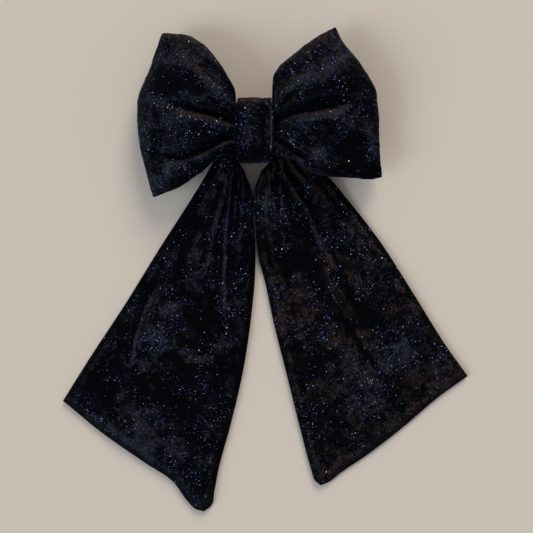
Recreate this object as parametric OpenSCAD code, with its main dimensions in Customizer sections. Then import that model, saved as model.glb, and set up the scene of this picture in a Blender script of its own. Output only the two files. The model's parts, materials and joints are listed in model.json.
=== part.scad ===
// Large velvet hair bow: two padded loops, two long tails, a centre band and a spring barrette.
// It lies on its back. +Z is the front of the bow, +Y its top, and the origin is the middle of
// the clasp arm's flat underside. All sizes are in millimetres.

/* [Loops] */
// Width across both loops
loops_width = 178; // [150:1:215]
// Height from the lowest loop tip to the highest
loops_height = 120; // [100:1:145]
// How far the loops' front stands out from their seam
loop_puff = 18; // [12:1:24]
// Depth of the creases that run out from the band
crease_depth = 6; // [0:0.5:8]

/* [Tails] */
// Width across both tails at their tips
tails_width = 294; // [240:1:355]
// Drop from the middle of the bow to the lowest tail tip
tails_drop = 276; // [225:1:335]
// Height of the gathers where the tails leave the band
gather_height = 2.4; // [0:0.2:3]
// Radius of the gathered head about which each tail turns
head_r = 8; // [6:0.5:8.5]

/* [Cloth] */
// Thickness of the velvet
velvet_t = 1.2; // [0.8:0.1:1.5]
// Thickness of the tails' interlining
lining_t = 0.8; // [0.5:0.1:1.2]
// Thickness of the band, which is two layers
band_t = 1.6; // [1.2:0.1:2]
// Gap between one cloth piece and the next
cloth_gap = 0.15; // [0.1:0.05:0.25]
// Radius of the sewing thread
thread_r = 0.35; // [0.25:0.05:0.5]

/* [Centre band] */
// Width of the band across the bow
band_width = 27.5; // [22:0.5:34]
// Height of the band over the gathered waist
band_height = 46; // [44:0.5:56]
// Thickness of the loops where the band gathers them
loop_waist_t = 14.5; // [12:0.5:18]
// Thickness of the tail strip where the band gathers it
tail_waist_t = 5.4; // [5:0.1:8]

/* [Barrette] */
// Length of the base plate
clip_length = 80; // [66:1:96]
// Width of the base plate
clip_width = 10; // [9:0.5:12]
// Height of the closed barrette, from the arm's underside to the plate's top
clip_height = 12.5; // [12.5:0.5:15]
// Radius of the arch of the base plate
plate_arch_r = 400; // [330:10:600]
// Thickness of the base plate
plate_t = 0.8; // [0.6:0.1:1]
// Thickness of the clasp arm
arm_t = 1; // [0.8:0.1:1.2]
// Width of the clasp arm
arm_width = 6.4; // [5.4:0.2:6.8]
// Radius of the hinge pin
pin_r = 0.8; // [0.65:0.05:1]
// Radial clearance round the hinge pin
pin_clearance = 0.05; // [0.03:0.01:0.08]
// Thickness of the tension bar
bar_t = 0.6; // [0.4:0.1:0.8]
// How far the tension bar bows towards the arm
bar_bow = 2; // [1:0.25:2.5]

/* [Hidden] */
$fn = 48;

velvet_colour = [0.06, 0.06, 0.09];
wadding_colour = [0.9, 0.89, 0.85];
thread_colour = [0.1, 0.1, 0.13];
steel_colour = [0.72, 0.73, 0.75];

// Clearances: between cloth on different bodies, and between cloth and the surface it lies on
body_gap = 0.35;
rest_gap = 0.2;
// Slack between the threads and the top of the band, the base plate and the band's inside, and
// the base plate and the loops' backs
band_slack = 0.5;
plate_slack = 0.1;
back_slack = 1.2;

// Heights of the stack, from the arm up
plate_top = clip_height;
tail_floor = plate_top + body_gap;
tail_ceiling = tail_floor + tail_waist_t;
loop_floor = tail_ceiling + 2 * thread_r + body_gap;
loop_ceiling = loop_floor + loop_waist_t;
seam_z = (loop_floor + loop_ceiling) / 2;

// The band's hollow, which goes round the waist and the base plate
band_inside_y = band_height / 2 - band_t;
band_inside_top = loop_ceiling + 2 * thread_r + band_slack;
band_inside_floor = plate_bottom_at(band_width / 2) - plate_slack;
band_floor = band_inside_floor - band_t;

// ---- Curves and grids ----

function mix(a, b, t) = a + (b - a) * t;
function clamp(t) = min(1, max(0, t));
function smooth(a, b, t) = let (k = clamp((t - a) / (b - a))) k * k * (3 - 2 * k);
function bump(t, middle, width) = exp(-pow((t - middle) / width, 2));
function bezier(p, t) =
    pow(1 - t, 3) * p[0] + 3 * pow(1 - t, 2) * t * p[1] + 3 * (1 - t) * t * t * p[2] + pow(t, 3) * p[3];

// The solid between two grids of points that have the same rows and columns
module slab(top, bottom) {
    rows = len(top);
    columns = len(top[0]);
    count = rows * columns;
    points = concat([for (row = top) each row], [for (row = bottom) each row]);
    at = function (i, j) i * columns + j;
    top_faces = [for (i = [0:rows - 2], j = [0:columns - 2])
        each [[at(i, j), at(i, j + 1), at(i + 1, j + 1)], [at(i, j), at(i + 1, j + 1), at(i + 1, j)]]];
    bottom_faces = [for (f = top_faces) [f[2] + count, f[1] + count, f[0] + count]];
    rim = concat([for (j = [0:columns - 1]) at(0, j)],
                 [for (i = [1:rows - 1]) at(i, columns - 1)],
                 [for (j = [columns - 2:-1:0]) at(rows - 1, j)],
                 [for (i = [rows - 2:-1:1]) at(i, 0)]);
    turns = len(rim);
    rim_faces = [for (k = [0:turns - 1])
        let (a = rim[k], b = rim[(k + 1) % turns])
        each [[b, a, a + count], [b, a + count, b + count]]];
    polyhedron(points, concat(top_faces, bottom_faces, rim_faces), convexity = 6);
}

// ---- Loops ----

loop_rows = 14;
loop_columns = 14;
// The gathered waist: how far it stands out beside the band, and how far inside its top and foot
waist_past_band = 0.6;
waist_inset = 3.8;
waist_x = band_width / 2 + waist_past_band;
waist_y = band_inside_y - waist_inset;

function loop_point(x, y) = [x * loops_width, y * loops_height];
function waist_point(side, y) = [side * waist_x, y];

// Edges of each loop: the lower and the upper one run out from the waist, the end one runs up
left_low = [waist_point(-1, -waist_y), loop_point(-0.14, -0.18), loop_point(-0.27, -0.32),
    loop_point(-0.411, -0.385)];
left_high = [waist_point(-1, waist_y), loop_point(-0.092, 0.4), loop_point(-0.22, 0.575),
    loop_point(-0.378, 0.573)];
left_end = [loop_point(-0.411, -0.385), loop_point(-0.49, -0.07), loop_point(-0.5, 0.2),
    loop_point(-0.378, 0.573)];
right_low = [waist_point(1, -waist_y), loop_point(0.14, -0.13), loop_point(0.22, -0.3),
    loop_point(0.523, -0.278)];
right_high = [waist_point(1, waist_y), loop_point(0.075, 0.33), loop_point(0.2, 0.5),
    loop_point(0.333, 0.615)];
right_end = [loop_point(0.523, -0.278), loop_point(0.49, -0.06), loop_point(0.53, 0.28),
    loop_point(0.333, 0.615)];

// A point of a loop: s runs out from the waist, v up from the lower edge
function loop_patch(low, high, end, s, v) =
    mix(bezier(low, s), bezier(high, s), v) + s * (bezier(end, v) - mix(end[0], end[3], v));
function loop_xy(side, s, v) = side < 0
    ? loop_patch(left_low, left_high, left_end, s, v)
    : loop_patch(right_low, right_high, right_end, s, v);

// The seam dips from the waist towards the tips
lower_tip_z = 9;
upper_tip_z = 14;
function loop_seam(s, v) = mix(seam_z, mix(lower_tip_z, upper_tip_z, v), pow(s, 2.4));

function across(v) = pow(max(0, 1 - pow(abs(2 * v - 1), 2.4)), 0.6);
function out_to_end(s) = sqrt(max(0, 1 - pow(s, 5)));
seam_gap = cloth_gap / 2;
waist_rise = loop_waist_t / 2 - velvet_t - seam_gap;
function swell(s) = mix(waist_rise, loop_puff, sin(90 * clamp(s / 0.5))) * out_to_end(s);
// Two creases run out from the band, and fade where the loop is thin
crease_width = 0.07;
thick_enough = 10;
function crease_line(v) = bump(v, 0.3, crease_width) + bump(v, 0.58, crease_width);
function creases(s, v) = crease_depth * sin(180 * clamp(s * 1.15)) * crease_line(v);
function loop_front(s, v) = let (lift = swell(s) * across(v))
    loop_seam(s, v) + velvet_t + seam_gap + max(0, lift - creases(s, v) * clamp(lift / thick_enough));

// The back is shallow below, where it lies over the tails, and deeper above
shallow_back = waist_rise - back_slack;
deep_back = seam_z - plate_top - 2 * velvet_t - seam_gap - back_slack;
function back_depth(v) = mix(shallow_back, deep_back, smooth(0.45, 0.7, v));
function back_swell(s, v) =
    mix(waist_rise, back_depth(v), smooth(0, 0.3, s)) * mix(1, 0.55, smooth(0.4, 1, s));
function loop_back(s, v) =
    loop_seam(s, v) - velvet_t - seam_gap - back_swell(s, v) * across(v) * out_to_end(s);

// Every column of both loops, from the left tips through the waist to the right tips
function loop_grid(rise) = [
    for (side = [-1, 1], k = [0:loop_columns])
        let (s = side < 0 ? 1 - k / loop_columns : k / loop_columns)
        [for (j = [0:loop_rows])
            let (v = j / loop_rows, p = loop_xy(side, s, v)) [p[0], p[1], rise(s, v)]]];

module loop_front_panel() {
    color(velvet_colour)
        slab(loop_grid(function (s, v) loop_front(s, v)),
             loop_grid(function (s, v) loop_front(s, v) - velvet_t));
}

module loop_back_panel() {
    color(velvet_colour)
        slab(loop_grid(function (s, v) loop_back(s, v) + velvet_t),
             loop_grid(function (s, v) loop_back(s, v)));
}

// The wadding of one loop, on the panels' own columns and rows, clear of the panels and the seams
filling_gap = 0.25;
module loop_filling(side) {
    first = 1;
    last = loop_columns - 1;
    order = side > 0 ? [first:last] : [last:-1:first];
    grid = function (rise) [for (k = order) let (s = k / loop_columns)
        [for (j = [1:loop_rows - 1]) let (v = j / loop_rows, p = loop_xy(side, s, v))
            [p[0], p[1], rise(s, v)]]];
    color(wadding_colour)
        slab(grid(function (s, v) loop_front(s, v) - velvet_t - filling_gap),
             grid(function (s, v) loop_back(s, v) + velvet_t + filling_gap));
}

// Outline of a flat bundle with round sides, to extrude along X
module bundle_outline(half_height, half_t) {
    square([2 * (half_height - half_t), 2 * half_t], center = true);
    for (side = [-1, 1]) translate([side * (half_height - half_t), 0]) circle(half_t);
}

// Turns of thread round such a bundle
module thread_turns(turns, half_height, half_t) {
    pitch = 2.6 * thread_r;
    wrap = 2 * thread_r;
    for (k = [0:turns - 1])
        translate([(k - (turns - 1) / 2) * pitch - thread_r, 0, 0])
            rotate([90, 0, 90])
                linear_extrude(2 * thread_r)
                    difference() {
                        bundle_outline(half_height + wrap, half_t + wrap);
                        bundle_outline(half_height, half_t);
                    }
}

loop_thread_turns = 5;
module loop_waist_thread() {
    half_height = waist_y + 0.5;
    half_t = loop_waist_t / 2 + 0.1;
    color(thread_colour) translate([0, 0, seam_z]) thread_turns(loop_thread_turns, half_height, half_t);
}

// ---- Tails ----

tail_steps = 18;
tail_columns = 12;
head_steps = 4;
// Each tail turns about this point, inside the band's open side
pivot_past_band = 2.2;
pivot_inset = 2.4;
pivot_x = band_width / 2 + pivot_past_band;
pivot_y = -(band_inside_y - head_r - pivot_inset);
// How far the tail's inner edge steps aside to pass the band's lower corner
corner_room = 0.9;
corner_x = band_width / 2 + corner_room;
// Shares of the tail's length at which it has passed the corner and is back in place
corner_s = 0.036;
back_in_place_s = corner_s + 0.095;
head_lean = acos((pivot_x - corner_x) / head_r);

function tail_point(x, y) = [x * tails_width, y * tails_drop];
function head_point(side, along) =
    [side * (pivot_x - along * head_r * cos(head_lean)), pivot_y - along * head_r * sin(head_lean)];

// Edges of each tail: the outer and the inner one run down from the head, the end one runs inwards
inner_start = 4;
left_tip = tail_point(-0.473, -0.7065);
left_bulge = [-1, 1];
left_outer = [head_point(-1, -1), mix(head_point(-1, -1), left_tip, 1 / 3),
    mix(head_point(-1, -1), left_tip, 2 / 3) + left_bulge, left_tip];
left_inner = [[-inner_start, pivot_y - head_r], tail_point(0.017, -0.326), tail_point(0.0034, -0.652),
    tail_point(-0.122, -1)];
left_tail_end = [left_outer[3], tail_point(-0.36, -0.806), tail_point(-0.22, -0.905), left_inner[3]];
right_outer = [head_point(1, -1), tail_point(0.204, -0.072), tail_point(0.357, -0.38),
    tail_point(0.527, -0.645)];
right_inner = [[inner_start, pivot_y - head_r], tail_point(-0.027, -0.308), tail_point(0.058, -0.598),
    tail_point(0.158, -0.927)];
right_tail_end = [right_outer[3], tail_point(0.41, -0.73), tail_point(0.29, -0.845), right_inner[3]];

function step_aside(s) = 1 - smooth(corner_s, back_in_place_s, s);
function tail_patch(outer, inner, end, aside, s, v) =
    mix(bezier(outer, s), bezier(inner, s) + [aside * step_aside(s), 0], v)
    + pow(s, 3) * (bezier(end, v) - mix(end[0], end[3], v));
function tail_xy(side, s, v) = let (aside = side * (corner_x - inner_start)) side < 0
    ? tail_patch(left_outer, left_inner, left_tail_end, aside, s, v)
    : tail_patch(right_outer, right_inner, right_tail_end, aside, s, v);

// The tail comes down from the band to what the bow lies on, and its gathers open as it goes
function tail_rise(s) = mix(tail_floor, rest_gap, smooth(0.03, 0.36, s));
function edge_fade(s, v) = smooth(0, 0.08, min(v, 1 - v)) * smooth(0, 0.03, 1 - s);
gather_count = 3;
function gathers(s, v) =
    gather_height * (1 - smooth(0.5, 0.95, s)) * (0.5 - 0.5 * cos(360 * gather_count * v));
function tail_back_low(s, v) = tail_rise(s);
function tail_lining_low(s, v) = tail_back_low(s, v) + velvet_t + cloth_gap;
function tail_front_low(s, v) = tail_lining_low(s, v)
    + edge_fade(s, v) * (lining_t + cloth_gap + gathers(s, v) * smooth(0.04, 0.14, s))
    + (1 - smooth(0, 0.1, s)) * (1 - edge_fade(s, v)) * (lining_t + cloth_gap);

// Rows from the head down to the end. The head's rows are chords of a circle about the pivot.
first_chord = 0.4;
function head_row(side, i, low) =
    let (d = head_r * cos(90 * (i + first_chord) / (head_steps + first_chord)),
         half = sqrt(head_r * head_r - d * d),
         middle = [side * (pivot_x - d * sin(head_lean)), pivot_y + d * cos(head_lean)],
         chord = [-side * cos(head_lean), -sin(head_lean)])
    [for (j = [0:tail_columns])
        let (p = middle + (2 * j / tail_columns - 1) * half * chord) [p[0], p[1], low]];
// The rows lie closer near the head. The lining leaves out the outermost rows and columns.
row_crowding = 1.7;
function tail_rows(side, rise, left_out) = [
    for (i = [left_out:tail_steps - left_out])
        let (s = pow(i / tail_steps, row_crowding))
        [for (j = [left_out:tail_columns - left_out])
            let (v = j / tail_columns, p = tail_xy(side, s, v)) [p[0], p[1], rise(s, v)]]];
function turned(side, rows) = side < 0 ? rows : [for (i = [len(rows) - 1:-1:0]) rows[i]];
function tail_grid(side, rise, lift) = turned(side, concat(
    [for (i = [0:head_steps - 1]) head_row(side, i, rise(0, 0.5) + lift)],
    tail_rows(side, function (s, v) rise(s, v) + lift, 0)));

module tail_layer(side, rise) {
    color(velvet_colour) slab(tail_grid(side, rise, velvet_t), tail_grid(side, rise, 0));
}

module tail_front(side) {
    tail_layer(side, function (s, v) tail_front_low(s, v));
}

module tail_back(side) {
    tail_layer(side, function (s, v) tail_back_low(s, v));
}

module tail_lining(side) {
    grid = function (lift) turned(side, tail_rows(side, function (s, v) tail_lining_low(s, v) + lift, 1));
    color(wadding_colour) slab(grid(lining_t), grid(0));
}

// The gathered middle of the strip. Both tails turn in its hollow ends.
thread_fit = 0.05;
strip_half_t = tail_waist_t / 2 - 2 * thread_r - thread_fit;
strip_z = (tail_floor + tail_ceiling) / 2;
strip_inset = 0.5;
tail_thread_turns = 4;
module tail_strip_middle() {
    half = band_width / 2 - strip_inset;
    color(velvet_colour)
        difference() {
            translate([-half, pivot_y, strip_z])
                rotate([90, 0, 90])
                    linear_extrude(2 * half) bundle_outline(head_r, strip_half_t);
            for (side = [-1, 1])
                translate([side * pivot_x, pivot_y, tail_floor])
                    cylinder(r = head_r + body_gap, h = tail_waist_t);
        }
}

module tail_waist_thread() {
    color(thread_colour)
        translate([0, pivot_y, strip_z])
            thread_turns(tail_thread_turns, head_r + thread_fit, strip_half_t + thread_fit);
}

// ---- Centre band ----

band_corner_r = 9;
band_foot_r = 2;
module band_outline(grow) {
    low = band_inside_floor - grow;
    high = band_inside_top + grow;
    half = band_inside_y + grow;
    foot = band_foot_r + grow;
    corner = band_corner_r + grow;
    for (side = [-1, 1]) {
        translate([side * (half - foot), low + foot]) circle(foot);
        translate([side * (half - corner), high - corner]) circle(corner);
    }
    translate([-(half - foot), low]) square([2 * (half - foot), 2 * foot]);
    translate([-half, low + foot]) square([2 * half, high - corner - low - foot]);
    translate([-(half - corner), high - 2 * corner]) square([2 * (half - corner), 2 * corner]);
}

module centre_band() {
    color(velvet_colour)
        translate([-band_width / 2, 0, 0])
            rotate([90, 0, 90])
                linear_extrude(band_width)
                    difference() {
                        band_outline(band_t);
                        band_outline(0);
                    }
}

// Closing stitches across the band's seam, behind the bow
stitch_r = 0.22;
stitch_length = 2.2;
stitch_pitch = 2.8;
stitch_margin = 1.5;
seam_y = -9;
module band_stitches() {
    count = floor((band_width - 2 * stitch_margin) / stitch_pitch);
    color(thread_colour)
        for (k = [0:count - 1])
            translate([(k - (count - 1) / 2) * stitch_pitch, seam_y, band_floor - stitch_r])
                rotate([90, 0, 0]) {
                    cylinder(r = stitch_r, h = stitch_length, center = true, $fn = 24);
                    for (end = [-1, 1])
                        translate([0, 0, end * stitch_length / 2]) sphere(stitch_r, $fn = 24);
                }
}

// ---- Barrette ----

// The hinge: the arm's knuckle turns on a pin between two ears of the base plate
knuckle_r = pin_r + pin_clearance + arm_t;
knuckle_lift = 0.05;
pin_x = -clip_length / 2 + 3;
pin_z = knuckle_r + knuckle_lift;
ear_t = 0.8;
ear_gap = 0.25;
ear_inside = arm_width / 2 + ear_gap;
ear_outside = ear_inside + ear_t;
ear_root = 0.3;
pin_head_t = 0.4;
pin_head_r = min(pin_r + 0.5, knuckle_r);
// Gap between two pieces of metal that are pressed or riveted together
metal_fit = 0.02;
// The catch and its rivet
catch_length = 5;
catch_x = clip_length / 2 - 5.5;
rivet_r = 1;
rivet_head_r = 1.8;
rivet_head_t = 0.5;
// The holes by which such a plate can be sewn on
sewing_hole_r = 0.9;
sewing_hole_x = [pin_x + 5, catch_x - 4.5];
sewing_hole_y = 3;
// Long enough to cut through every piece of metal
through = 2 * plate_top;

function plate_bottom_at(x) = plate_top - plate_arch_r + sqrt(pow(plate_arch_r - plate_t, 2) - x * x);
function plate_top_at(x) = plate_top - plate_arch_r + sqrt(pow(plate_arch_r, 2) - x * x);

// A strip of metal bent to a radius about the Y axis. It runs from x0 to x1, and its outer face is
// at z = 0 where x = 0.
module bent_strip(radius, thickness, width, x0, x1) {
    a0 = acos(x1 / radius);
    a1 = acos(x0 / radius);
    translate([0, 0, -radius])
        rotate([90, 0, 0])
            rotate([0, 0, a0])
                rotate_extrude(angle = a1 - a0, $fn = 360)
                    translate([radius - thickness, -width / 2]) square([thickness, width]);
}

module clip_base_plate() {
    end_x = clip_length / 2;
    ear_top = plate_bottom_at(pin_x - knuckle_r) + ear_root;
    color(steel_colour)
        difference() {
            union() {
                translate([0, 0, plate_top]) bent_strip(plate_arch_r, plate_t, clip_width, -end_x, end_x);
                for (side = [-1, 1])
                    translate([pin_x, side * (ear_inside + ear_t / 2), 0])
                        rotate([90, 0, 0])
                            linear_extrude(ear_t, center = true) {
                                translate([0, pin_z]) circle(knuckle_r);
                                translate([-knuckle_r, pin_z]) square([2 * knuckle_r, ear_top - pin_z]);
                            }
            }
            translate([pin_x, 0, pin_z])
                rotate([90, 0, 0]) cylinder(r = pin_r + metal_fit, h = through, center = true);
            translate([catch_x, 0, 0]) cylinder(r = rivet_r, h = through);
            for (x = sewing_hole_x, side = [-1, 1])
                translate([x, side * sewing_hole_y, 0]) cylinder(r = sewing_hole_r, h = through);
        }
}

// The pin's two ends are spread into heads outside the ears
module hinge_pin() {
    head_z = ear_outside + metal_fit;
    color(steel_colour)
        translate([pin_x, 0, pin_z])
            rotate([90, 0, 0]) {
                cylinder(r = pin_r, h = 2 * head_z + pin_head_t, center = true);
                for (side = [-1, 1])
                    translate([0, 0, side * (head_z + pin_head_t / 2)])
                        cylinder(r = pin_head_r, h = pin_head_t, center = true);
            }
}

// The catch is one bent spring: a web under the plate and a tab down each side
web_t = 0.7;
web_top = plate_bottom_at(catch_x + catch_length / 2) - metal_fit;
web_bottom = web_top - web_t;
web_half = 2.6;
tab_t = 0.5;
tab_outside = 2.5;
// Under the web, over the lips and beside the tabs, so that each tab can turn
tab_gap = 0.12;
lip_gap = 0.2;
window_gap = 0.1;
lip_reach = 0.7;
// The arm's thumb pad, which the lips hold
pad_low = 1.6;
pad_half = 4.6;
pad_length = 5.5;

module catch_web() {
    color(steel_colour)
        difference() {
            translate([catch_x - catch_length / 2, -web_half, web_bottom])
                cube([catch_length, 2 * web_half, web_t]);
            translate([catch_x, 0, 0]) cylinder(r = rivet_r, h = through);
        }
}

module catch_rivet() {
    low = web_bottom - metal_fit;
    high = plate_top_at(catch_x - rivet_head_r) + metal_fit;
    color(steel_colour)
        translate([catch_x, 0, 0]) {
            translate([0, 0, low - rivet_head_t / 2])
                cylinder(r = rivet_r - metal_fit, h = high - low + rivet_head_t);
            for (z = [low - rivet_head_t, high])
                translate([0, 0, z]) cylinder(r = rivet_head_r, h = rivet_head_t);
        }
}

// One squeeze tab: a wall with a lip at its foot and a wing to press
module catch_tab(side) {
    inside = tab_outside - tab_t;
    top = web_bottom - tab_gap;
    foot = 0.4;
    lip_top = pad_low - lip_gap;
    lip_t = 0.3;
    lip_y = tab_outside + lip_reach;
    wing_z = mix(pad_low + arm_t, top, 0.62);
    wing_y = tab_outside + 4;
    wing_droop = 1.3;
    outline = [[inside, foot], [tab_outside, foot], [lip_y, lip_top - lip_t], [lip_y, lip_top],
        [tab_outside, lip_top], [tab_outside, wing_z - tab_t], [wing_y, wing_z - tab_t - wing_droop],
        [wing_y, wing_z - wing_droop], [tab_outside, wing_z], [tab_outside, top], [inside, top]];
    color(steel_colour)
        translate([catch_x, 0, 0])
            rotate([90, 0, 90])
                linear_extrude(catch_length, center = true)
                    polygon([for (p = outline) [side * p[0], p[1]]]);
}

// The arm lies flat, steps up before the catch, and widens to a thumb pad with a window for the tabs
module clasp_arm() {
    step_x = catch_x - 7;
    step_run = 2.6;
    step_lead = 0.4;
    pad_x = clip_length / 2 + 1 - pad_half;
    window_length = catch_length + 1.4;
    window_half = tab_outside + window_gap;
    color(steel_colour)
        difference() {
            union() {
                translate([pin_x, 0, pin_z])
                    rotate([90, 0, 0]) cylinder(r = knuckle_r, h = arm_width, center = true);
                rotate([90, 0, 0])
                    linear_extrude(arm_width, center = true)
                        polygon([[pin_x, knuckle_lift], [pin_x + knuckle_r, 0], [step_x, 0],
                            [step_x + step_run, pad_low], [catch_x, pad_low], [catch_x, pad_low + arm_t],
                            [step_x + step_run - step_lead, pad_low + arm_t], [step_x - step_lead, arm_t],
                            [pin_x, arm_t]]);
                translate([0, 0, pad_low])
                    linear_extrude(arm_t) {
                        translate([pad_x - pad_length, -pad_half]) square([pad_length, 2 * pad_half]);
                        translate([pad_x, 0]) circle(pad_half);
                    }
            }
            translate([pin_x, 0, pin_z])
                rotate([90, 0, 0]) cylinder(r = pin_r + pin_clearance, h = through, center = true);
            translate([catch_x - window_length / 2, -window_half, 0])
                cube([window_length, 2 * window_half, through]);
        }
}

// The tension bar bows towards the arm, and its hooked end sits by the hinge
bar_width = 5;
bar_hook_h = 1;
bar_hook_x = pin_x + 4.5;
bar_end_x = catch_x - 4;
// How far under the base plate the bar's two ends lie
bar_hook_drop = 1.5;
bar_end_drop = 3.2;
bar_hook_z = plate_bottom_at(bar_hook_x) - bar_hook_drop;
bar_end_z = plate_bottom_at(bar_end_x) - bar_end_drop;
module tension_bar() {
    span = bar_end_x - bar_hook_x;
    radius = span * span / (8 * bar_bow) + bar_bow / 2;
    slope = atan((bar_end_z - bar_hook_z) / span);
    color(steel_colour)
        translate([(bar_hook_x + bar_end_x) / 2, 0, (bar_hook_z + bar_end_z) / 2 - bar_bow])
            rotate([0, -slope, 0]) {
                rotate([180, 0, 0]) bent_strip(radius, bar_t, bar_width, -span / 2, span / 2);
                translate([-span / 2, -bar_width / 2, bar_bow]) cube([bar_t, bar_width, bar_hook_h]);
            }
}

loop_front_panel();
loop_back_panel();
loop_filling(-1);  // left_loop_filling
loop_filling(1);  // right_loop_filling
loop_waist_thread();
tail_strip_middle();
tail_waist_thread();
centre_band();
band_stitches();
clip_base_plate();
hinge_pin();
catch_web();
catch_rivet();
catch_tab(1);  // upper_catch_tab
catch_tab(-1);  // lower_catch_tab
clasp_arm();
tension_bar();
tail_front(-1);  // left_tail_front
tail_back(-1);  // left_tail_back
tail_lining(-1);  // left_tail_lining
tail_front(1);  // right_tail_front
tail_back(1);  // right_tail_back
tail_lining(1);  // right_tail_lining
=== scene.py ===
import json
import math

import bmesh
import bpy
import numpy as np
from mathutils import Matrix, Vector, noise


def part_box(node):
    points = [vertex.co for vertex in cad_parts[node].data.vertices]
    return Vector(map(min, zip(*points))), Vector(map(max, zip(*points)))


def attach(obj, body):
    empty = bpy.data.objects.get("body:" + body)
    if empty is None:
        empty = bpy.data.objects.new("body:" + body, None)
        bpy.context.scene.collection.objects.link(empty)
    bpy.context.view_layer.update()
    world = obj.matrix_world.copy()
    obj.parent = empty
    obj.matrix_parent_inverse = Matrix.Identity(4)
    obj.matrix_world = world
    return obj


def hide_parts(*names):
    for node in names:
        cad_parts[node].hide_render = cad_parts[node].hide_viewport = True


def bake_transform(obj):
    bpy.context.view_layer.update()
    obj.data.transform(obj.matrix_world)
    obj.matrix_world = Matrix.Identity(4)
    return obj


bl_info = {
    "name": "Velvet Hair Bow",
    "version": (1, 0, 0),
    "blender": (4, 5, 0),
    "location": "View3D > Sidebar > Hair Bow",
    "description": "Makes a large glitter velvet hair bow with padded loops, long tails and a barrette",
    "category": "Add Mesh",
}

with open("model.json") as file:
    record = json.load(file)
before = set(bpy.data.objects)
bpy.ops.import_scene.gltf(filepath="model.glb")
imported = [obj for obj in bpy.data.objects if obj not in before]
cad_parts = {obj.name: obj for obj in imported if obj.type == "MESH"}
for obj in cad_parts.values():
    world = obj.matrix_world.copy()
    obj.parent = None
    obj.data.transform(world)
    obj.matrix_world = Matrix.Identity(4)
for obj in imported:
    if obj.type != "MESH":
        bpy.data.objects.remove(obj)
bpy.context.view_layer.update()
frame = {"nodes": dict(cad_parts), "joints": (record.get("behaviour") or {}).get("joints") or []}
MM = 0.001

# ---------------------------------------------------------------- frame sizes, in millimetres


def node_box(name):
    """Lowest and highest corner of a CAD node, in millimetres."""
    low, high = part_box(name)
    return np.array(low) / MM, np.array(high) / MM


BAND_LOW, BAND_HIGH = node_box("centre_band")
LOOPS_LOW, LOOPS_HIGH = node_box("loop_front_panel")
STRIP_LOW, STRIP_HIGH = node_box("tail_strip_middle")
WAIST_LOW, WAIST_HIGH = node_box("loop_waist_thread")
TAILS_LOW, TAILS_HIGH = node_box("left_tail_front")[0], node_box("right_tail_front")[1]
PIVOTS = {j["child"]: np.array(j["pos_m"]) / MM for j in frame["joints"] if "tail" in j["name"]}
BAND_HALF = (BAND_HIGH[0] - BAND_LOW[0]) / 2
# Thickness of the band's folded cloth
BAND_WALL = 1.6
# The loops' gathered waist lies inside its thread, with this much room above and beside it
WAIST_ROOM_Z = 1.4
WAIST_ROOM_Y = 1.6
WAIST_HALF_T = (WAIST_HIGH[2] - WAIST_LOW[2]) / 2 - WAIST_ROOM_Z
WAIST_HALF_Y = WAIST_HIGH[1] - WAIST_ROOM_Y
SEAM_Z = (WAIST_LOW[2] + WAIST_HIGH[2]) / 2

# The outlines below are drawn in millimetres at this size, and are scaled to the part's own size
DRAWN_LOOPS = (181.1, 120.0)
DRAWN_TAILS = (294.0, 276.0)
LOOP_SCALE = (LOOPS_HIGH - LOOPS_LOW)[:2] / DRAWN_LOOPS
TAIL_SCALE = np.array([(TAILS_HIGH[0] - TAILS_LOW[0]) / DRAWN_TAILS[0], -TAILS_LOW[1] / DRAWN_TAILS[1]])

# ---------------------------------------------------------------- curves and small maths


def mix(a, b, t):
    return a + (b - a) * t


def smooth(a, b, t):
    k = np.clip((t - a) / (b - a), 0, 1)
    return k * k * (3 - 2 * k)


def spline(points, t):
    """Points at shares t of the way along a smooth curve through the given points."""
    p = np.asarray(points, float)
    knots = np.r_[0, np.cumsum(np.linalg.norm(np.diff(p, axis=0), axis=1))]
    knots /= knots[-1]
    slopes = np.gradient(p, knots, axis=0)
    t = np.asarray(t, float)
    i = np.clip(np.searchsorted(knots, t, side="right") - 1, 0, len(knots) - 2)
    gap = (knots[i + 1] - knots[i])[..., None]
    u = (t - knots[i])[..., None] / gap
    return ((1 + 2 * u) * (1 - u) ** 2 * p[i] + u * (1 - u) ** 2 * gap * slopes[i]
            + u * u * (3 - 2 * u) * p[i + 1] + u * u * (u - 1) * gap * slopes[i + 1])


def along_path(xy, points):
    """Signed distance of each point from a path, and the share of the path's length nearest to it."""
    path = spline(points, np.linspace(0, 1, 24))
    best = np.full(xy.shape[:-1], 1e9)
    signed, share = np.zeros_like(best), np.zeros_like(best)
    count = len(path) - 1
    for k in range(count):
        a, d = path[k], path[k + 1] - path[k]
        u = np.clip(((xy - a) @ d) / (d @ d), 0, 1)
        off = xy - a - u[..., None] * d
        distance = np.linalg.norm(off, axis=-1)
        side = np.sign(d[0] * off[..., 1] - d[1] * off[..., 0])
        nearer = distance < best
        best = np.where(nearer, distance, best)
        signed = np.where(nearer, distance * side, signed)
        share = np.where(nearer, (k + u) / count, share)
    return signed, share


def fold(xy, points, width, height, lean=0.0, start=0.0, end=0.35):
    """A ridge (or, with a negative height, a groove) along a path. Lean raises its left side and lowers
    its right. Start and end are the shares of its length over which it rises and fades."""
    distance, share = along_path(xy, points)
    taper = (smooth(0, start, share) if start else 1) * (1 - smooth(1 - end, 1, share))
    across = distance / (width * (0.75 + 0.6 * share))
    bell = np.exp(-across ** 2)
    tilt = 1.6 * lean * across * bell
    if height >= 0:
        return taper * (height * bell + tilt)
    sharp = np.exp(-1.5 * (np.sqrt(across ** 2 + 0.02) - 0.14))
    slack = 0.28 * np.sin(2.3 * distance + 3 * share) * np.exp(-((np.abs(distance) - 4) / 3.5) ** 2)
    return taper * (height * (0.45 * bell + 0.55 * sharp) + tilt + slack)


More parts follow.
